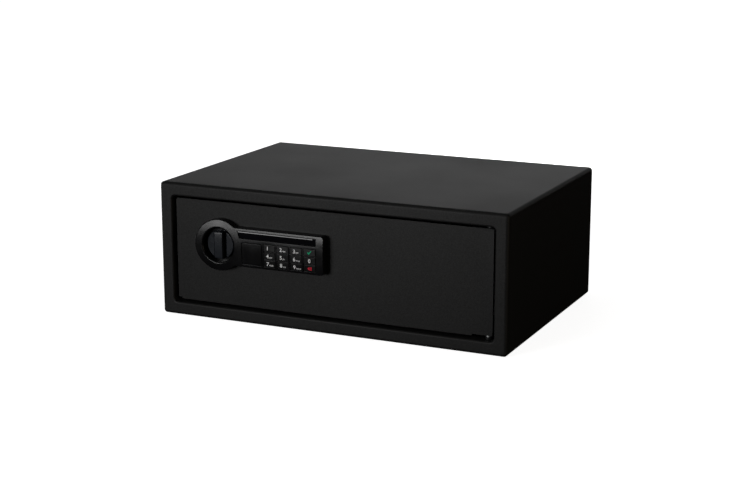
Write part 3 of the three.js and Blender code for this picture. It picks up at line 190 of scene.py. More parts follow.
# Stage, in metres
FLOOR_SIZE, FLOOR_DROP = 60, 0.5 * MM
FLOOR_PAINT = 0.8
GLOW_NEAR, GLOW_FAR = 0.92, 1.0
GLOW_START, GLOW_END = 0.3, 0.9
SHADE_WIDTH, SHADE_DEPTH = 210 * MM, 140 * MM
DARK_ROOM = 0.03
BACKDROP_WAY = (-0.26, 0.965, 0.05)
BACKDROP_SHEEN = 0.53
BACKDROP_START, BACKDROP_END = 0.86, 0.98
AIM = Vector((0, 0, 0.08))
SKY_PLACE, SKY_ANGLE = (-0.3, 0.35, 0.9), math.radians(45)
KEY_PLACE, KEY_SIZE = (-0.414, -1.545, 0.136), (0.15, 0.15)
BOX_PLACE, BOX_SIZE = (-0.696, -1.427, 0.275), (0.45, 0.4)
HIGH_PLACE, HIGH_SIZE = (-0.179, -1.013, 1.306), (0.3, 0.3)
SIDE_PLACE, SIDE_SIZE = (1.303, -0.474, 0.275), (0.3, 0.5)
BACK_PLACE, BACK_SIZE = (-0.613, 1.685, 0.237), (2.6, 0.2)
REAR_PLACE, LEFT_PLACE, LOW_SIZE = (-0.15, 1.3, 0.06), (-1.3, 0.25, 0.06), (0.6, 0.1)
WARM = (1.0, 0.86, 0.66)
CAMERA_PLACE = (0.8170, -1.7924, 0.5490)
CAMERA_TILT, CAMERA_TURN = math.radians(90 - 13.712), math.radians(24.704)
SENSOR_WIDTH = 36
CLIP_START, CLIP_END = 0.05, 200


def sag(z):
    """How far the module's barrelled face falls back at a height"""
    return BARREL - math.sqrt(BARREL**2 - (z - BARREL_Z) ** 2)


# ---------------------------------------------------------------- settings


def colour_setting(name, description, default):
    return bpy.props.FloatVectorProperty(
        name=name,
        description=description,
        default=(*default, 1),
        size=4,
        min=0,
        max=1,
        subtype="COLOR",
    )


def length_setting(name, description, default):
    return bpy.props.FloatProperty(
        name=name, description=description, default=default, unit="LENGTH"
    )


def power_setting(name, description, default):
    return bpy.props.FloatProperty(
        name=name, description=description, default=default, min=0, unit="POWER"
    )


class SafeColours(bpy.types.PropertyGroup):
    """Colours of the safe's finishes"""

    coat: colour_setting("Powder coat", "Colour of the coated steel", (0.013, 0.013, 0.013))
    plastic: colour_setting("Module plastic", "Colour of the lock module", (0.004, 0.004, 0.0044))
    knob: colour_setting("Knob plastic", "Colour of the knob", (0.0135, 0.0155, 0.0195))
    key: colour_setting("Key rubber", "Colour of the push buttons", (0.003, 0.003, 0.0032))
    legend: colour_setting("Legend ink", "Colour of the numerals", (0.85, 0.85, 0.85))
    enter: colour_setting("Enter ink", "Colour of the tick", (0.0, 0.42, 0.2))
    clear: colour_setting("Clear ink", "Colour of the clear arrow", (0.62, 0.02, 0.04))


class SafeEdges(bpy.types.PropertyGroup):
    """Roundings that the finished pieces get"""

    sheet: length_setting("Sheet edge", "Rounding of cut sheet edges under the coat", 0.5 * MM)
    moulding: length_setting("Moulding edge", "Rounding of the moulded edges", 0.2 * MM)
    machined: length_setting("Machined edge", "Rounding of turned and cut hardware", 0.25 * MM)


class SafeStudio(bpy.types.PropertyGroup):
    """The stage's camera and lamps"""

    lens: bpy.props.FloatProperty(
        name="Lens", description="Focal length of the camera in millimetres", default=77.7, min=10
    )
    key_power: power_setting("Key lamp", "Power of the small lamp in front", 3.5)
    box_power: power_setting("Softbox", "Power of the soft box at the front left", 5.9)
    high_power: power_setting("High lamp", "Power of the lamp high above the front", 1.0)
    side_power: power_setting("Side lamp", "Power of the lamp at the right", 1.9)
    back_power: power_setting("Back lamp", "Power of the long lamp behind the safe", 2.5)
    low_power: power_setting("Low lamps", "Power of the low lamps behind and at the left", 8.0)
    sky_strength: bpy.props.FloatProperty(
        name="Sky lamp", description="Strength of the broad lamp above", default=0.08, min=0
    )


# ---------------------------------------------------------------- modelling helpers


def deselect():
    bpy.ops.object.select_all(action="DESELECT")


def activate(piece):
    deselect()
    piece.select_set(True)
    bpy.context.view_layer.objects.active = piece


def take(name):
    """The piece that an operator has just added, named, with its place in its mesh"""
    piece = bpy.context.object
    piece.name = name
    piece.data.name = name
    bpy.ops.object.transform_apply(location=True, rotation=True, scale=True)
    return piece


def block(name, low, high):
    deselect()
    low, high = Vector(low), Vector(high)
    bpy.ops.mesh.primitive_cube_add(size=1, location=(low + high) / 2, scale=high - low)
    return take(name)


def rod(name, axis, centre, radius, start, end, sides=64):
    """A cylinder along an axis, between two places on it"""
    deselect()
    u, v = centre
    middle = (start + end) / 2
    location = {"x": (middle, u, v), "y": (u, middle, v), "z": (u, v, middle)}[axis]
    rotation = {"x": (0, math.pi / 2, 0), "y": (math.pi / 2, 0, 0), "z": (0, 0, 0)}[axis]
    bpy.ops.mesh.primitive_cylinder_add(
        vertices=sides, radius=radius, depth=end - start, location=location, rotation=rotation
    )
    return take(name)


def slab(name, points, front, back):
    """An outline in the XZ plane, extruded from front to back"""
    deselect()
    bpy.ops.mesh.primitive_circle_add(vertices=len(points), radius=1, fill_type="NGON")
    for vertex, (x, z) in zip(bpy.context.object.data.vertices, points):
        vertex.co = (x, front, z)
    bpy.ops.object.mode_set(mode="EDIT")
    bpy.ops.mesh.select_all(action="SELECT")
    bpy.ops.mesh.extrude_region_move(TRANSFORM_OT_translate={"value": (0, back - front, 0)})
    bpy.ops.mesh.select_all(action="SELECT")
    bpy.ops.mesh.normals_make_consistent(inside=False)
    bpy.ops.object.mode_set(mode="OBJECT")
    return take(name)


def apply_modifier(piece, kind, **settings):
    activate(piece)
    modifier = piece.modifiers.new(kind.title(), kind)
    for name, value in settings.items():
        setattr(modifier, name, value)
    bpy.ops.object.modifier_apply(modifier=modifier.name)


def combine(piece, operation, *tools):
    for tool in tools:
        apply_modifier(piece, "BOOLEAN", object=tool, operation=operation, solver="EXACT")
        bpy.data.objects.remove(tool)
    return piece


def cut(piece, *tools):
    return combine(piece, "DIFFERENCE", *tools)


def join(piece, *others):
    return combine(piece, "UNION", *others)


def edge_normals(mesh):
    """The normals of the faces that meet at each edge"""
    found = {}
    for face in mesh.polygons:
        for key in face.edge_keys:
            found.setdefault(key, []).append(face.normal)
    return found


def bevel_edges(piece, width, segments, chosen):
    """Rounds the edges that a test picks by their ends and their faces' normals"""
    mesh = piece.data
    normals = edge_normals(mesh)
    for element in (*mesh.vertices, *mesh.polygons):
        element.select = False
    for edge in mesh.edges:
        ends = [mesh.vertices[i].co for i in edge.vertices]
        edge.select = bool(chosen(*ends, normals.get(edge.key, [])))
    activate(piece)
    bpy.context.tool_settings.mesh_select_mode = (False, True, False)
    bpy.ops.object.mode_set(mode="EDIT")
    bpy.ops.mesh.bevel(offset=width, segments=segments, affect="EDGES", profile=0.5)
    bpy.ops.object.mode_set(mode="OBJECT")
    return piece


def soften(piece, width, segments=2, angle=35):
    """A fine rounding on every sharp edge"""
    apply_modifier(
        piece,
        "BEVEL",
        width=width,
        segments=segments,
        limit_method="ANGLE",
        angle_limit=math.radians(angle),
        harden_normals=False,
    )
    return piece


def rows(piece, bottom, top, step):
    """Level cuts, so that a tall flat face can follow a curve"""
    activate(piece)
    bpy.ops.object.mode_set(mode="EDIT")
    height = bottom
    while height < top:
        bpy.ops.mesh.select_all(action="SELECT")
        bpy.ops.mesh.bisect(plane_co=(0, 0, height), plane_no=(0, 0, 1))
        height += step
    bpy.ops.object.mode_set(mode="OBJECT")


def barrelled(piece, limit):
    """Lets the front fall back along the barrel, above and below its crown"""
    low, high = (pick(v.co.z for v in piece.data.vertices) for pick in (min, max))
    rows(piece, low + FIRST_ROW, high, ROW)
    for vertex in piece.data.vertices:
        if vertex.co.y < limit:
            vertex.co.y += sag(vertex.co.z)
    return piece


def rim_of(front):
    """Picks the edges where a flat front turns straight back"""

    def chosen(a, b, normals):
        level = max(abs(a.y - front), abs(b.y - front)) < CLOSE
        return level and len(normals) == 2 and any(abs(n.y) < 0.1 for n in normals)

    return chosen


def refined(node, name, width, segments=2):
    """A copy of a piece of the frame with its faces merged and its edges rounded"""
    deselect()
    piece = bpy.data.objects.new(name, frame["nodes"][node].data.copy())
    bpy.context.collection.objects.link(piece)
    piece.data.name = name
    activate(piece)
    bpy.context.tool_settings.mesh_select_mode = (True, False, False)
    bpy.ops.object.mode_set(mode="EDIT")
    bpy.ops.mesh.select_all(action="SELECT")
    bpy.ops.mesh.remove_doubles(threshold=CLOSE)
    bpy.ops.mesh.dissolve_limited(angle_limit=math.radians(0.5))
    bpy.ops.object.mode_set(mode="OBJECT")
    if width:
        soften(piece, width, segments)
    return piece


def finish(piece, body, slot, material, *nodes, angle=35, rolled=None):
    """Smooths a piece, large faces before small ones but where a face is rolled, gives it its
    finish, hangs it on its body and lets it stand for its nodes"""
    activate(piece)
    bpy.ops.object.shade_smooth_by_angle(angle=math.radians(angle))
    left_out = piece.vertex_groups.new(name="rolled")
    if rolled:
        indices = [vertex.index for vertex in piece.data.vertices if rolled(vertex.co)]
        left_out.add(indices, 1, "REPLACE")
    apply_modifier(
        piece,
        "WEIGHTED_NORMAL",
        mode="FACE_AREA",
        weight=60,
        keep_sharp=True,
        vertex_group="rolled",
        invert_vertex_group=True,
    )
    piece.data.materials.clear()
    piece.data.materials.append(material)
    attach(piece, body)
    if nodes:
        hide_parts(*nodes)
    return piece


# ---------------------------------------------------------------- outlines


def arc(x, z, radius, start, end, steps):
    angles = [math.radians(start + (end - start) * i / steps) for i in range(steps + 1)]
    return [(x + radius * math.cos(a), z + radius * math.sin(a)) for a in angles]


def rounded(left, right, bottom, top, radius, steps=6):
    return [
        *arc(right - radius, bottom + radius, radius, -90, 0, steps),
        *arc(right - radius, top - radius, radius, 0, 90, steps),
        *arc(left + radius, top - radius, radius, 90, 180, steps),
        *arc(left + radius, bottom + radius, radius, 180, 270, steps),
    ]


def module_outline(inset):
    """The ring run into the bar by concave necks"""
    ring = RING - inset
    neck = NECK + inset
    top, bottom, right = BAR_TOP - inset, BAR_BOTTOM + inset, BAR_RIGHT - inset
    corner = BAR_CORNER - inset
    rise, drop = top + neck - KNOB_Z, KNOB_Z - bottom + neck
    run = math.sqrt((ring + neck) ** 2 - rise**2)
    low_run = math.sqrt((ring + neck) ** 2 - drop**2)
    angle = math.degrees(math.atan2(rise, run))
    low_angle = math.degrees(math.atan2(drop, low_run))
    return [
        *arc(KNOB_X, KNOB_Z, ring, angle, 360 - low_angle, 90),
        *arc(KNOB_X + low_run, KNOB_Z - drop, neck, 180 - low_angle, 90, 8)[1:],
        *arc(right - corner, bottom + corner, corner, -90, 0, 8),
        *arc(right - corner, top - corner, corner, 0, 90, 8),
        *arc(KNOB_X + run, KNOB_Z + rise, neck, -90, angle - 180, 8)[:-1],
    ]


def slot_outline(inset):
    left, right = SLOT_LEFT + inset, SLOT_RIGHT - inset
    bottom, top = SLOT_BOTTOM + inset, SLOT_TOP - inset
    return [(left + SLOT_SLANT, bottom), (right, bottom), (right, top), (left, top)]


def key_box(name):
    """Lowest and highest corner of a key of the frame"""
    return span("key_" + name)


def grown_outline(low, high, grown, radius):
    """A piece's rounded front, grown all round"""
    left, right = low.x - grown, high.x + grown
    return rounded(left, right, low.z - grown, high.z + grown, radius + grown, 4)


# ---------------------------------------------------------------- materials


def new_material(name, colour, roughness, metallic=0.0, specular=0.5):
    material = bpy.data.materials.new(name)
    material.use_nodes = True
    shader = material.node_tree.nodes["Principled BSDF"]
    shader.inputs["Base Color"].default_value = (*colour[:3], 1)
    shader.inputs["Roughness"].default_value = roughness
    shader.inputs["Metallic"].default_value = metallic
    shader.inputs["Specular IOR Level"].default_value = specular
    return material, material.node_tree, shader


def coordinates(tree, stretch=(1, 1, 1)):
    place = tree.nodes.new("ShaderNodeTexCoord").outputs["Object"]
    mapping = tree.nodes.new("ShaderNodeMapping")
    mapping.inputs["Scale"].default_value = stretch
    tree.links.new(place, mapping.inputs["Vector"])
    return mapping.outputs["Vector"]


def noise(tree, scale, detail=2, stretch=(1, 1, 1)):
    texture = tree.nodes.new("ShaderNodeTexNoise")
    texture.inputs["Scale"].default_value = scale
    texture.inputs["Detail"].default_value = detail
    tree.links.new(coordinates(tree, stretch), texture.inputs["Vector"])
    return texture.outputs["Fac"]


def spread(tree, source, low, high, start=0.3, end=0.7):
    """A pattern's value stretched to run from low to high"""
    node = tree.nodes.new("ShaderNodeMapRange")
    node.inputs["From Min"].default_value = start
    node.inputs["From Max"].default_value = end
    node.inputs["To Min"].default_value = low
    node.inputs["To Max"].default_value = high
    tree.links.new(source, node.inputs["Value"])
    return node.outputs["Result"]


def tint(tree, source, dark, light, start=0.3, end=0.7):
    """Two colours mixed by a pattern"""
    node = tree.nodes.new("ShaderNodeMix")
    node.data_type = "RGBA"
    node.inputs["A"].default_value = (*dark[:3], 1)
    node.inputs["B"].default_value = (*light[:3], 1)
    tree.links.new(spread(tree, source, 0, 1, start, end), node.inputs["Factor"])
    return node.outputs["Result"]


def relief(tree, shader, source, strength, depth):
    node = tree.nodes.new("ShaderNodeBump")
    node.inputs["Strength"].default_value = strength
    node.inputs["Distance"].default_value = depth
    tree.links.new(source, node.inputs["Height"])
    tree.links.new(node.outputs["Normal"], shader.inputs["Normal"])


def colour_by(tree, shader, source, dark, light, start=0.3, end=0.7):
    """Lets the colour follow a pattern"""
    tree.links.new(tint(tree, source, dark, light, start, end), shader.inputs["Base Color"])


def roughness_by(tree, shader, source, low, high):
    """Lets the roughness follow a pattern"""
    tree.links.new(spread(tree, source, low, high), shader.inputs["Roughness"])


def shade(colour, factor):
    return tuple(c * factor for c in colour[:3])


def powder_coat():
    colour = bpy.context.scene.safe_colours.coat
    material, tree, shader = new_material("powder_coat", colour, 0.55, specular=0.135)
    grain = noise(tree, 1000, 3)
    patch = noise(tree, 9, 2)
    colour_by(tree, shader, grain, shade(colour, 0.6), shade(colour, 1.45))
    roughness_by(tree, shader, patch, 0.43, 0.47)
    relief(tree, shader, grain, 0.8, 0.09 * MM)
    return material


def moulded(name, colour, roughness, grain=3200, depth=0.012 * MM):
    """Plastic from a lightly spark-eroded mould"""
    material, tree, shader = new_material(name, colour, roughness, specular=0.21)
    texture = noise(tree, grain, 2)
    cloud = noise(tree, 60, 3)
    colour_by(tree, shader, cloud, shade(colour, 0.88), shade(colour, 1.12))
    roughness_by(tree, shader, cloud, roughness - 0.04, roughness + 0.04)
    relief(tree, shader, texture, 0.35, depth)
    return material


def gloss_lens():
    material, tree, shader = new_material("gloss_lens", (0.003, 0.003, 0.004), 0.06, specular=0.27)
    smear = noise(tree, 90, 4)
    roughness_by(tree, shader, smear, 0.04, 0.1)
    relief(tree, shader, noise(tree, 30, 1), 0.05, 0.02 * MM)
    return material


def ink(name, colour):
    material, tree, shader = new_material(name, colour, 0.5, specular=0.12)
    wear = noise(tree, 2400, 2)
    colour_by(tree, shader, wear, shade(colour, 0.82), colour)
    relief(tree, shader, wear, 0.2, 0.01 * MM)
    return material


def plated(name, colour, roughness, stretch=(1, 1, 1), scale=220):
    """Metal with a spangled or drawn surface"""
    material, tree, shader = new_material(name, colour, roughness, metallic=1.0)
    spangle = noise(tree, scale, 4, stretch)
    fine = noise(tree, scale * 9, 2, stretch)
    colour_by(tree, shader, spangle, shade(colour, 0.8), colour)
    roughness_by(tree, shader, spangle, roughness - 0.07, roughness + 0.09)
    relief(tree, shader, fine, 0.25, 0.01 * MM)
    return material


def circuit_board():
    """Green board with its rows of tracks"""
    green = (0.01, 0.12, 0.035)
    material, tree, shader = new_material("circuit_board", green, 0.4)
    bricks = tree.nodes.new("ShaderNodeTexBrick")
    bricks.inputs["Scale"].default_value = 260
    bricks.inputs["Mortar Size"].default_value = 0.06
    bricks.inputs["Color1"].default_value = (*green, 1)
    bricks.inputs["Color2"].default_value = (0.012, 0.15, 0.045, 1)
    bricks.inputs["Mortar"].default_value = (0.04, 0.24, 0.08, 1)
    turned = coordinates(tree)
    turned.node.inputs["Rotation"].default_value = (math.pi / 2, 0, 0)
    tree.links.new(turned, bricks.inputs["Vector"])
    tree.links.new(bricks.outputs["Color"], shader.inputs["Base Color"])
    relief(tree, shader, noise(tree, 900, 2), 0.2, 0.02 * MM)
    return material


def bands(tree, direction, scale, distortion=0.0):
    """Stripes along one direction"""
    wave = tree.nodes.new("ShaderNodeTexWave")
    wave.bands_direction = direction
    wave.inputs["Scale"].default_value = scale
    wave.inputs["Distortion"].default_value = distortion
    tree.links.new(coordinates(tree), wave.inputs["Vector"])
    return wave.outputs["Fac"]


def wound_copper():
    material, tree, shader = new_material("wound_copper", (0.3, 0.1, 0.03), 0.35, metallic=0.7)
    turns = bands(tree, "Z", 700, 0.4)
    colour_by(tree, shader, turns, (0.12, 0.035, 0.01), (0.42, 0.16, 0.05), 0, 1)
    relief(tree, shader, turns, 0.6, 0.08 * MM)
    return material


def cell_sleeve():
    material, tree, shader = new_material("cell_sleeve", (0.02, 0.05, 0.11), 0.3)
    band = bands(tree, "X", 9)
    colour_by(tree, shader, band, (0.018, 0.045, 0.1), (0.3, 0.31, 0.33), 0.86, 0.9)
    relief(tree, shader, noise(tree, 700, 2), 0.15, 0.02 * MM)
    return material


def felt():
    material, tree, shader = new_material("felt", (0.022, 0.022, 0.024), 0.95, specular=0.2)
    fibre = noise(tree, 900, 5, (1, 1.6, 1))
    colour_by(tree, shader, fibre, (0.012, 0.012, 0.013), (0.04, 0.04, 0.043))
    shader.inputs["Sheen Weight"].default_value = 0.4
    shader.inputs["Sheen Roughness"].default_value = 0.5
    relief(tree, shader, fibre, 0.9, 0.4 * MM)
    return material


finishes = {}


def finish_of(slot):
    """Each finish is made once"""
    colours = bpy.context.scene.safe_colours
    makers = {
        "coated_steel": powder_coat,
        "zinc_steel": lambda: plated("zinc_plate", (0.55, 0.56, 0.56), 0.34),
        "bright_steel": lambda: plated("turned_steel", (0.6, 0.61, 0.62), 0.24, (1, 12, 1), 300),
        "brass": lambda: plated("brass", (0.62, 0.42, 0.14), 0.28, (1, 6, 1), 300),
        "black_plastic": lambda: moulded("module_plastic", colours.plastic, 0.24),
        "knob_plastic": lambda: moulded("knob_plastic", colours.knob, 0.28),
        "dark_plastic": lambda: moulded(
            "dark_plastic", (0.012, 0.012, 0.013), 0.5, 1800, 0.03 * MM
        ),
        "gloss_black": gloss_lens,
        "key_rubber": lambda: moulded("key_rubber", colours.key, 0.34, 2600),
        "red_plastic": lambda: moulded("red_plastic", (0.4, 0.012, 0.01), 0.4),
        "circuit_board": circuit_board,
        "copper_coil": wound_copper,
        "cell_sleeve": cell_sleeve,
        "felt": felt,
        "lead_sheath": lambda: moulded("lead_sheath", (0.016, 0.016, 0.017), 0.45, 1500),
        "legend": lambda: ink("legend_ink", colours.legend),
        "enter": lambda: ink("enter_ink", colours.enter),
        "clear": lambda: ink("clear_ink", colours.clear),
    }
    if slot not in finishes:
        finishes[slot] = makers[slot]()
    return finishes[slot]


def slot_of(node):
    """The material slot that the record gives a node"""
    parts = frame["record"]["subparts"]
    return next(part["material_slot"] for part in parts if part["node"] == node)


def body_of(node):
    """The moving body that the record gives a node"""
    bodies = frame["record"]["behaviour"]["bodies"]
    return next(body for body, nodes in bodies.items() if node in nodes)


# ---------------------------------------------------------------- pieces


class SAFE_OT_dress_frame(bpy.types.Operator):
    """Give every piece of the frame its finish"""

    bl_idname = "safe.dress_frame"
    bl_label = "Finish the frame"

    def execute(self, context):
        for name, node in frame["nodes"].items():
            node.data.materials.clear()
            node.data.materials.append(finish_of(slot_of(name)))
        return {"FINISHED"}


class SAFE_OT_build_shell(bpy.types.Operator):
    """Fold the outer shell from sheet, with its four anchor holes"""

    bl_idname = "safe.build_shell"
    bl_label = "Outer shell"

    def execute(self, context):
        shell = block("shell", (SHELL_LOW.x, RIM_BACK + SEAM, SHELL_LOW.z), SHELL_HIGH)
        bevel_edges(shell, BEND, 6, lambda a, b, normals: abs(a.x - b.x) + abs(a.z - b.z) < CLOSE)
        for face in shell.data.polygons:
            face.select = abs(face.normal.y) > 0.9
        activate(shell)
        bpy.context.tool_settings.mesh_select_mode = (False, False, True)
        bpy.ops.object.mode_set(mode="EDIT")
        bpy.ops.mesh.delete(type="FACE")
        bpy.ops.object.mode_set(mode="OBJECT")
        apply_modifier(shell, "SOLIDIFY", thickness=SHEET, offset=-1, use_even_offset=True)
        for x in (-ANCHOR_X, ANCHOR_X):
            for y in (-ANCHOR_Y, ANCHOR_Y):
                end = SHEET + OVERRUN
                cut(shell, rod("drill", "z", (x, y), ANCHOR_RADIUS, -OVERRUN, end, 32))
        soften(shell, FOLD_EDGE, 2, 50)
        finish(shell, "body", "coated_steel", finish_of("coated_steel"), "outer_shell")
        return {"FINISHED"}


class SAFE_OT_build_front(bpy.types.Operator):
    """Press the front frame with its rounded rim and the lip round the opening"""

    bl_idname = "safe.build_front"
    bl_label = "Front frame"

    def execute(self, context):
        front, back = FRAME_LOW.y, FRAME_HIGH.y
        rim = slab("front_flange", self.outline(0, BEND, 8), front, RIM_BACK)
        bevel_edges(rim, RIM_EDGE, 8, rim_of(front))
        tongue_outline = self.outline(TONGUE_INSET, BEND - TONGUE_INSET, 4)
        tongue = slab("tongue", tongue_outline, RIM_BACK - OVERRUN, front + TONGUE_DEPTH)
        hollow_outline = self.outline(HOLLOW_INSET, HOLLOW_CORNER, 4)
        hollow_back = front + TONGUE_DEPTH + OVERRUN
        hollow = slab("hollow", hollow_outline, front + RIM_WALL, hollow_back)
        lip = slab("lip", self.opening(RIM_WALL), front + RIM_WALL / 2, back)
        opening = slab("opening", self.opening(0), front - OVERRUN, back + OVERRUN)
        cut(join(rim, tongue), hollow)
        cut(join(rim, lip), opening)
        for z in (OPENING_BOTTOM, OPENING_TOP):
            start, end = z - PIN_BORE_DEPTH, z + PIN_BORE_DEPTH
            cut(rim, rod("drill", "z", PIN, PIN_BORE, start, end, 32))

        def inner_edge(a, b, normals):
            border = RIM_WALL / 4
            return all(
                abs(p.x) < OPENING_RIGHT + border
                and p.y < front + 10 * CLOSE
                and OPENING_BOTTOM - border < p.z < OPENING_TOP + border
                for p in (a, b)
            )

        bevel_edges(rim, LIP_EDGE, 6, inner_edge)
        soften(rim, PRESS_EDGE, 2, 50)
        finish(rim, "body", "coated_steel", finish_of("coated_steel"), "front_frame")
        return {"FINISHED"}

    def outline(self, inset, corner, steps):
        """The frame's outline, drawn in all round"""
        left, right = FRAME_LOW.x + inset, FRAME_HIGH.x - inset
        return rounded(left, right, FRAME_LOW.z + inset, FRAME_HIGH.z - inset, corner, steps)

    def opening(self, grown):
        """The door opening's outline, grown all round"""
        left, right = OPENING_LEFT - grown, OPENING_RIGHT + grown
        bottom, top = OPENING_BOTTOM - grown, OPENING_TOP + grown
        return rounded(left, right, bottom, top, OPENING_CORNER + grown, 8)


class SAFE_OT_build_door(bpy.types.Operator):
    """Round the door plate's edges and fill the notch at its top right corner"""

    bl_idname = "safe.build_door"
    bl_label = "Door plate"

    def execute(self, context):
        door = refined("door_plate", "door", 0)
        left = DOOR_HIGH.x - NOTCH_WIDTH - OVERRUN
        bottom = DOOR_HIGH.z - NOTCH_HEIGHT - OVERRUN
        high = (DOOR_HIGH.x, DOOR_BACK, DOOR_HIGH.z)
        corner = block("corner", (left, DOOR_FRONT, bottom), high)
        soften(join(door, corner), context.scene.safe_edges.sheet, 3)
        finish(door, "door", "coated_steel", finish_of("coated_steel"), "door_plate")
        return {"FINISHED"}


class SAFE_OT_build_module(bpy.types.Operator):
    """Mould the lock module with its barrelled face, well, slot, key windows and pocket"""

    bl_idname = "safe.build_module"
    bl_label = "Lock module"

    def execute(self, context):
        front, deep = CROWN - OVERRUN, CEILING + OVERRUN
        body = slab("lock_module", module_outline(0), CROWN, DOOR_FRONT)
        bevel_edges(body, MODULE_EDGE, 5, rim_of(CROWN))
        cut(body, rod("well", "y", (KNOB_X, KNOB_Z), WELL, front, WELL_BACK, 128))
        bevel_edges(body, WELL_CHAMFER, 8, rim_of(CROWN))
        cover = grown_outline(COVER_LOW, COVER_HIGH, GAP, CAP_CORNER)
        cut(body, slab("slot", slot_outline(0), front, deep), slab("pocket", cover, front, POCKET))
        bevel_edges(body, SLOT_EDGE, 5, rim_of(CROWN))
        for name in KEY_NAMES:
            window = grown_outline(*key_box(name), GAP, KEY_CORNER)
            cut(body, slab("window", window, front, deep))
        bevel_edges(body, context.scene.safe_edges.moulding, 2, rim_of(CROWN))
        barrelled(body, CEILING - CLOSE)
        self.hollow_out(body)
        for x in (KNOB_X - (WELL + RING) / 2, BAR_RIGHT - POST_INSET):
            start, end = CEILING - OVERRUN / 2, DOOR_BACK + POST_REACH
            join(body, rod("post", "y", (x, KNOB_Z), POST_RADIUS, start, end, 24))
        plastic = finish_of("black_plastic")
        finish(body, "door", "black_plastic", plastic, "module_housing", rolled=self.chamfer)
        return {"FINISHED"}

    def hollow_out(self, body):
        """Leaves a thin wall, with the well and the pocket standing in the hollow"""
        start, end = CEILING - OVERRUN, DOOR_FRONT + OVERRUN
        hollow = slab("hollow", module_outline(MODULE_WALL), CEILING, end)
        cover = grown_outline(COVER_LOW, COVER_HIGH, GAP + POCKET_WALL, CAP_CORNER)
        core_radius, core_end = WELL + MODULE_WALL, end + OVERRUN
        cut(
            hollow,
            rod("core", "y", (KNOB_X, KNOB_Z), core_radius, start, core_end, 96),
            slab("pocket", cover, start, POCKET + POCKET_WALL),
        )
        lock_end = POCKET + POCKET_WALL + 2 * OVERRUN
        cut(
            body,
            hollow,
            rod("drill", "y", (KNOB_X, KNOB_Z), SPINDLE_HOLE, WELL_BACK - OVERRUN, end, 48),
            rod("drill", "y", (COVER_X, COVER_Z), LOCK_HOLE, POCKET - OVERRUN, lock_end, 64),
        )

    def chamfer(self, place):
        """Whether a point lies within the chamfer round the well"""
        reach = math.hypot(place.x - KNOB_X, place.z - KNOB_Z)
        border = 0.05 * MM
        return WELL + border < reach < WELL + WELL_CHAMFER - border and place.y < WELL_BACK


class SAFE_OT_build_knob(bpy.types.Operator):
    """Turn the knob, scoop it beside the grip and round its edges"""

    bl_idname = "safe.build_knob"
    bl_label = "Knob"

    def execute(self, context):
        front, back = KNOB_FRONT, KNOB_HIGH.y
        knob = rod("turn_knob", "y", (KNOB_X, KNOB_Z), KNOB_RADIUS, front, back, 128)
        bevel_edges(knob, KNOB_EDGE, 3, lambda a, b, normals: max(a.y, b.y) < front + CLOSE)
        low, high = KNOB_Z - SCOOP_REACH, KNOB_Z + SCOOP_REACH
        for side in (-1, 1):
            centre = (KNOB_X + side * (GRIP_HALF - SCOOP_OVERLAP), SCOOP_FLOOR - SCOOP)
            cut(knob, rod("scoop", "z", centre, SCOOP, low, high, 64))
        join(knob, self.grip())
        bore_start = back - KNOB_BORE_DEPTH
        cut(knob, rod("bore", "y", (KNOB_X, KNOB_Z), KNOB_BORE, bore_start, back + OVERRUN, 48))
        soften(knob, context.scene.safe_edges.moulding, 2, 40)
        finish(knob, "knob", "knob_plastic", finish_of("knob_plastic"), "knob")
        return {"FINISHED"}

    def grip(self):
        """The bar across the knob, whose front falls back towards its ends"""
        front = KNOB_LOW.y
        half = math.sqrt((KNOB_RADIUS - GRIP_INSET) ** 2 - GRIP_HALF**2)
        low, high = KNOB_Z - half, KNOB_Z + half
        corners = (KNOB_X - GRIP_HALF, front, low), (KNOB_X + GRIP_HALF, KNOB_HIGH.y, high)
        grip = block("grip", *corners)

        def front_end(a, b, normals):
            return abs(a.x - b.x) > GRIP_HALF and max(a.y, b.y) < front + CLOSE

        def front_side(a, b, normals):
            on_side = abs(abs(a.x - KNOB_X) - GRIP_HALF) < CLOSE and abs(a.x - b.x) < CLOSE
            turns = {abs(normal.x) > 0.5 for normal in normals}
            return on_side and max(a.y, b.y) < KNOB_FRONT and turns == {False, True}

        bevel_edges(grip, GRIP_END_EDGE, 4, front_end)
        bevel_edges(grip, GRIP_SIDE_EDGE, 3, front_side)
        rows(grip, low, high, GRIP_ROW)
        for vertex in grip.data.vertices:
            if vertex.co.y < KNOB_FRONT - OVERRUN:
                vertex.co.y += (vertex.co.z - KNOB_Z) ** 2 / (2 * BARREL)
        return grip


class SAFE_OT_build_lens(bpy.types.Operator):
    """Mould the glossy indicator lens with the slope along its top"""

    bl_idname = "safe.build_lens"
    bl_label = "Indicator lens"

    def execute(self, context):
        front = LENS_LOW.y
        back = CEILING + OVERRUN
        lens = slab("indicator_lens_moulding", slot_outline(GAP), front, back)
        top = SLOT_TOP - GAP

        def top_edge(a, b, normals):
            return max(a.y, b.y) < front + CLOSE and min(a.z, b.z) > top - CLOSE

        bevel_edges(lens, LENS_SLOPE, 1, top_edge)
        for vertex in lens.data.vertices:
            if vertex.co.z > top - CLOSE and vertex.co.y < front + 2 * MM:
                vertex.co.y = front + LENS_STEP
        right = SLOT_RIGHT - GAP
        low = (right - LENS_STOP, front, top - LENS_STOP_HEIGHT)
        stop = block("stop", low, (right, back, top))
        flange = slab("flange", slot_outline(-FLANGE_BORDER), CEILING, CEILING + FLANGE)
        soften(join(lens, stop, flange), LENS_EDGE, 2, 30)
        gloss = finish_of("gloss_black")
        finish(lens, "door", "gloss_black", gloss, "indicator_lens", angle=30)
        return {"FINISHED"}


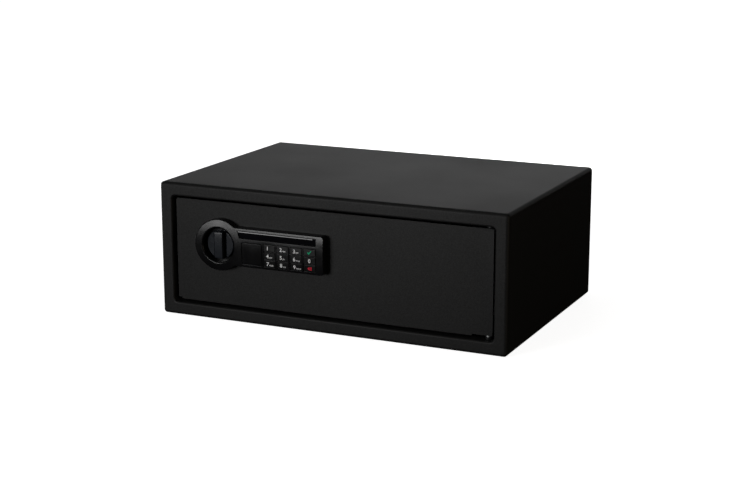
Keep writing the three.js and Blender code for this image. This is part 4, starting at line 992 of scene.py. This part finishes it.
class SAFE_OT_build_key_cover(bpy.types.Operator):
    """Mould the bare square cap over the override lock"""

    bl_idname = "safe.build_key_cover"
    bl_label = "Key cover"

    def execute(self, context):
        outline = grown_outline(COVER_LOW, COVER_HIGH, 0, CAP_CORNER)
        cap = slab("key_cap", outline, CROWN, CAP_BACK)
        bevel_edges(cap, CAP_EDGE, 3, rim_of(CROWN))
        barrelled(cap, CAP_BACK - OVERRUN)
        for u in (-1, 1):
            for v in (-1, 1):
                centre = (COVER_X + u * LEG_X, COVER_Z + v * LEG_Z)
                start, end = CAP_BACK - OVERRUN, COVER_HIGH.y
                join(cap, rod("leg", "y", centre, LEG_RADIUS, start, end, 24))
        finish(cap, "key_cover", "black_plastic", finish_of("black_plastic"), "key_cover")
        return {"FINISHED"}


class SAFE_OT_build_keys(bpy.types.Operator):
    """Mould one push button, copy it to its twelve places and tilt each with the barrel"""

    bl_idname = "safe.build_keys"
    bl_label = "Push buttons"

    def execute(self, context):
        low, high = key_box("1")
        first = slab("button_1", grown_outline(low, high, 0, KEY_CORNER), low.y, high.y)

        def front_edge(a, b, normals):
            return max(a.y, b.y) < low.y + CLOSE and len(normals) == 2

        bevel_edges(first, KEY_EDGE, 4, front_edge)
        for name in KEY_NAMES[1:]:
            place = key_box(name)[0]
            button = bpy.data.objects.new("button_" + name, first.data.copy())
            context.collection.objects.link(button)
            button.data.name = button.name
            for vertex in button.data.vertices:
                frontness = 1 - (vertex.co.y - low.y) / (high.y - low.y)
                vertex.co.x += place.x - low.x
                vertex.co.y += frontness * (place.y - low.y)
                vertex.co.z += place.z - low.z
        for name in KEY_NAMES:
            corners = key_box(name)
            button = bpy.data.objects["button_" + name]
            nearest = min(sag(corner.z) for corner in corners)
            for vertex in button.data.vertices:
                if vertex.co.y < corners[0].y + KEY_FRONT:
                    vertex.co.y += sag(vertex.co.z) - nearest
            finish(button, "key_" + name, "key_rubber", finish_of("key_rubber"), "key_" + name)
        return {"FINISHED"}


class SAFE_OT_print_legends(bpy.types.Operator):
    """Print the numerals, phone letters, tick and clear arrow on the push buttons"""

    bl_idname = "safe.print_legends"
    bl_label = "Legends"

    def execute(self, context):
        for name in KEY_NAMES:
            low, high = key_box(name)
            middle, height = (low.x + high.x) / 2, (low.z + high.z) / 2
            place = (low.y, height - BASELINE)
            if name in MARKS:
                title, outlines = MARKS[name]
                shapes = [self.mark(outline, middle, height, low.y) for outline in outlines]
                legend = self.gather(title, shapes)
            elif name == "0":
                legend = self.write(name, middle, *place, NUMERAL_SIZE, 0.5)
            else:
                shapes = [self.write(name, low.x + NUMERAL_MIDDLE, *place, NUMERAL_SIZE, 0.5)]
                if name in PHONE_LETTERS:
                    letters = PHONE_LETTERS[name]
                    start = low.x + LETTER_LEFT
                    shapes.append(self.write(letters, start, *place, LETTER_SIZE, 0))
                legend = self.gather("numeral_" + name, shapes)
            colour = finish_of(name if name in MARKS else "legend")
            finish(legend, "key_" + name, "key_rubber", colour)
        return {"FINISHED"}

    def mark(self, outline, middle, height, front):
        points = [(middle + x * MM, height + z * MM) for x, z in outline]
        return slab("mark", points, front - INK_FRONT, front + INK_BACK)

    def write(self, words, x, front, z, size, share):
        """Words made a thin mesh on a button's front, with a share of their width left of x"""
        deselect()
        place = (0, front - INK_FRONT + INK_HALF, z)
        bpy.ops.object.text_add(location=place, rotation=(math.pi / 2, 0, 0))
        text = bpy.context.object
        text.data.body = words
        text.data.size = size
        text.data.extrude = INK_HALF
        text.data.offset = 0.02 * size
        text.data.resolution_u = 4
        bpy.ops.object.convert(target="MESH")
        mesh = take("words")
        low, high = (pick(v.co.x for v in mesh.data.vertices) for pick in (min, max))
        bpy.ops.object.mode_set(mode="EDIT")
        bpy.ops.mesh.select_all(action="SELECT")
        bpy.ops.transform.translate(value=(x - low - (high - low) * share, 0, 0))
        bpy.ops.mesh.remove_doubles(threshold=CLOSE)
        bpy.ops.object.mode_set(mode="OBJECT")
        return mesh

    def gather(self, name, shapes):
        """Shapes joined into one piece"""
        deselect()
        for shape in shapes:
            shape.select_set(True)
        bpy.context.view_layer.objects.active = shapes[0]
        if len(shapes) > 1:
            bpy.ops.object.join()
        shapes[0].name = name
        shapes[0].data.name = name
        return shapes[0]


class SAFE_OT_build_hardware(bpy.types.Operator):
    """Round the edges of the hinges, bolts, covers, cells and the other hardware"""

    bl_idname = "safe.build_hardware"
    bl_label = "Hardware"

    def execute(self, context):
        for node in HARDWARE:
            piece = refined(node, node + "_finished", context.scene.safe_edges.machined)
            slot = slot_of(node)
            finish(piece, body_of(node), slot, finish_of(slot), node)
        # Dark rings round the pins, sized to hide them in the door gaps: painted shade standing
        # where the gaps are in shadow
        lower = ("lower", OPENING_BOTTOM, OPENING_BOTTOM + LOWER_SHADE_RING)
        upper = ("upper", OPENING_TOP - UPPER_SHADE_RING, OPENING_TOP)
        for name, bottom, top in (lower, upper):
            shade_ring = rod("hinge_shade_ring_" + name, "z", PIN, SHADE_RING_RADIUS, bottom, top, 48)
            cut(shade_ring, rod("bore", "z", PIN, SHADE_RING_BORE, bottom - OVERRUN, top + OVERRUN, 48))
            soften(shade_ring, context.scene.safe_edges.moulding, 2)
            finish(shade_ring, "body", "dark_plastic", finish_of("dark_plastic"))
        return {"FINISHED"}


class SAFE_OT_build_stage(bpy.types.Operator):
    """Set the pale floor, the soft lamps and the camera"""

    bl_idname = "safe.build_stage"
    bl_label = "Stage"

    def execute(self, context):
        studio = context.scene.safe_studio
        deselect()
        bpy.ops.mesh.primitive_plane_add(size=FLOOR_SIZE, location=(0, 0, -FLOOR_DROP))
        floor = take("floor")
        floor.data.materials.append(self.floor_paint())
        self.lamp("sky", "SUN", studio.sky_strength, SKY_PLACE).angle = SKY_ANGLE
        self.panel("key", studio.key_power, KEY_PLACE, KEY_SIZE)
        self.panel("softbox", studio.box_power, BOX_PLACE, BOX_SIZE)
        self.panel("high", studio.high_power, HIGH_PLACE, HIGH_SIZE)
        self.panel("side", studio.side_power, SIDE_PLACE, SIDE_SIZE).color = WARM
        self.panel("back", studio.back_power, BACK_PLACE, BACK_SIZE)
        self.panel("low_rear", studio.low_power, REAR_PLACE, LOW_SIZE)
        self.panel("low_left", studio.low_power, LEFT_PLACE, LOW_SIZE)
        self.hang_backdrop(context)
        camera_data = bpy.data.cameras.new("camera")
        camera = bpy.data.objects.new("camera", camera_data)
        context.collection.objects.link(camera)
        camera.location = CAMERA_PLACE
        camera.rotation_euler = (CAMERA_TILT, 0, CAMERA_TURN)
        camera_data.lens = studio.lens
        camera_data.sensor_width = SENSOR_WIDTH
        camera_data.clip_start, camera_data.clip_end = CLIP_START, CLIP_END
        context.scene.camera = camera
        context.scene.view_settings.view_transform = "Standard"
        return {"FINISHED"}

    def hang_backdrop(self, context):
        """White for the camera and through glass, and low behind the safe for sheen, with the
        rest of the room dark"""
        world = bpy.data.worlds.new("studio")
        context.scene.world = world
        world.use_nodes = True
        tree = world.node_tree
        path = tree.nodes.new("ShaderNodeLightPath").outputs
        towards = tree.nodes.new("ShaderNodeVectorMath")
        towards.operation = "DOT_PRODUCT"
        towards.inputs[1].default_value = BACKDROP_WAY
        way = tree.nodes.new("ShaderNodeTexCoord").outputs["Generated"]
        tree.links.new(way, towards.inputs[0])
        cosine = towards.outputs["Value"]
        sheen = spread(tree, cosine, 0.0, BACKDROP_SHEEN, BACKDROP_START, BACKDROP_END)
        seen = self.sum_up(
            tree, "MULTIPLY_ADD", path["Is Glossy Ray"], sheen, path["Is Camera Ray"]
        )
        seen = self.sum_up(tree, "MAXIMUM", seen, path["Is Transmission Ray"])
        seen = self.sum_up(tree, "MULTIPLY_ADD", path["Is Diffuse Ray"], DARK_ROOM, seen)
        background = tree.nodes["Background"]
        background.inputs["Color"].default_value = (1, 1, 1, 1)
        tree.links.new(seen, background.inputs["Strength"])

    def sum_up(self, tree, operation, *terms):
        """One step of arithmetic on sockets and numbers"""
        node = tree.nodes.new("ShaderNodeMath")
        node.operation = operation
        for socket, term in zip(node.inputs, terms):
            if isinstance(term, float):
                socket.default_value = term
            else:
                tree.links.new(term, socket)
        return node.outputs[0]

    def floor_paint(self):
        """Pale paint that keeps shadows, glows for the camera except under the safe, and is dim
        to all other rays"""
        paint = (FLOOR_PAINT, FLOOR_PAINT, FLOOR_PAINT)
        material, tree, shader = new_material("floor_paint", paint, 0.9, specular=0.0)
        dark, light = FLOOR_PAINT - 0.01, FLOOR_PAINT + 0.01
        colour_by(tree, shader, noise(tree, 3, 2), (dark, dark, dark), (light, light, light))
        shader.inputs["Emission Color"].default_value = (1, 1, 1, 1)
        away = self.distance(tree, (1, 1, 1))
        glow = spread(tree, away, GLOW_NEAR, GLOW_FAR, GLOW_START, GLOW_END)
        edge = self.distance(tree, (1 / SHADE_WIDTH, 1 / SHADE_DEPTH, 1))
        clear = spread(tree, edge, 0.0, 1.0, 0.95, 1.0)
        strength = self.sum_up(tree, "MULTIPLY", glow, clear)
        tree.links.new(strength, shader.inputs["Emission Strength"])
        dim = tree.nodes.new("ShaderNodeBsdfDiffuse")
        dim.inputs["Color"].default_value = (DARK_ROOM, DARK_ROOM, DARK_ROOM, 1)
        path = tree.nodes.new("ShaderNodeLightPath")
        mixer = tree.nodes.new("ShaderNodeMixShader")
        tree.links.new(path.outputs["Is Camera Ray"], mixer.inputs["Fac"])
        tree.links.new(dim.outputs["BSDF"], mixer.inputs[1])
        tree.links.new(shader.outputs["BSDF"], mixer.inputs[2])
        tree.links.new(mixer.outputs["Shader"], tree.nodes["Material Output"].inputs["Surface"])
        return material

    def distance(self, tree, stretch):
        """How far a point of the floor is from the middle, with each direction stretched"""
        length = tree.nodes.new("ShaderNodeVectorMath")
        length.operation = "LENGTH"
        tree.links.new(coordinates(tree, stretch), length.inputs[0])
        return length.outputs["Value"]

    def lamp(self, name, kind, power, place):
        """A lamp that points at the middle of the safe"""
        data = bpy.data.lights.new(name, kind)
        data.energy = power
        lamp = bpy.data.objects.new(name, data)
        bpy.context.collection.objects.link(lamp)
        lamp.location = place
        lamp.rotation_euler = (AIM - Vector(place)).to_track_quat("-Z", "Y").to_euler()
        return data

    def panel(self, name, power, place, size):
        """A soft rectangular lamp"""
        data = self.lamp(name, "AREA", power, place)
        data.shape = "RECTANGLE"
        data.size, data.size_y = size
        return data


class SAFE_PT_panel(bpy.types.Panel):
    """Buttons that build the safe"""

    bl_idname = "SAFE_PT_panel"
    bl_label = "Wide electronic safe"
    bl_space_type = "VIEW_3D"
    bl_region_type = "UI"
    bl_category = "Safe"

    def draw(self, context):
        scene = context.scene
        for group in (scene.safe_colours, scene.safe_edges, scene.safe_studio):
            box = self.layout.box()
            for name in group.__annotations__:
                box.prop(group, name)
        for step in STEPS:
            self.layout.operator(step.bl_idname)


STEPS = (
    SAFE_OT_dress_frame,
    SAFE_OT_build_shell,
    SAFE_OT_build_front,
    SAFE_OT_build_door,
    SAFE_OT_build_module,
    SAFE_OT_build_knob,
    SAFE_OT_build_lens,
    SAFE_OT_build_key_cover,
    SAFE_OT_build_keys,
    SAFE_OT_print_legends,
    SAFE_OT_build_hardware,
    SAFE_OT_build_stage,
)
CLASSES = (SafeColours, SafeEdges, SafeStudio, *STEPS, SAFE_PT_panel)


def register():
    for cls in CLASSES:
        bpy.utils.register_class(cls)
    bpy.types.Scene.safe_colours = bpy.props.PointerProperty(type=SafeColours)
    bpy.types.Scene.safe_edges = bpy.props.PointerProperty(type=SafeEdges)
    bpy.types.Scene.safe_studio = bpy.props.PointerProperty(type=SafeStudio)


def unregister():
    del bpy.types.Scene.safe_studio
    del bpy.types.Scene.safe_edges
    del bpy.types.Scene.safe_colours
    for cls in reversed(CLASSES):
        bpy.utils.unregister_class(cls)


def main():
    register()
    for step in STEPS:
        category, name = step.bl_idname.split(".")
        getattr(getattr(bpy.ops, category), name)()
    bpy.context.view_layer.update()


if __name__ == "__main__":
    main()
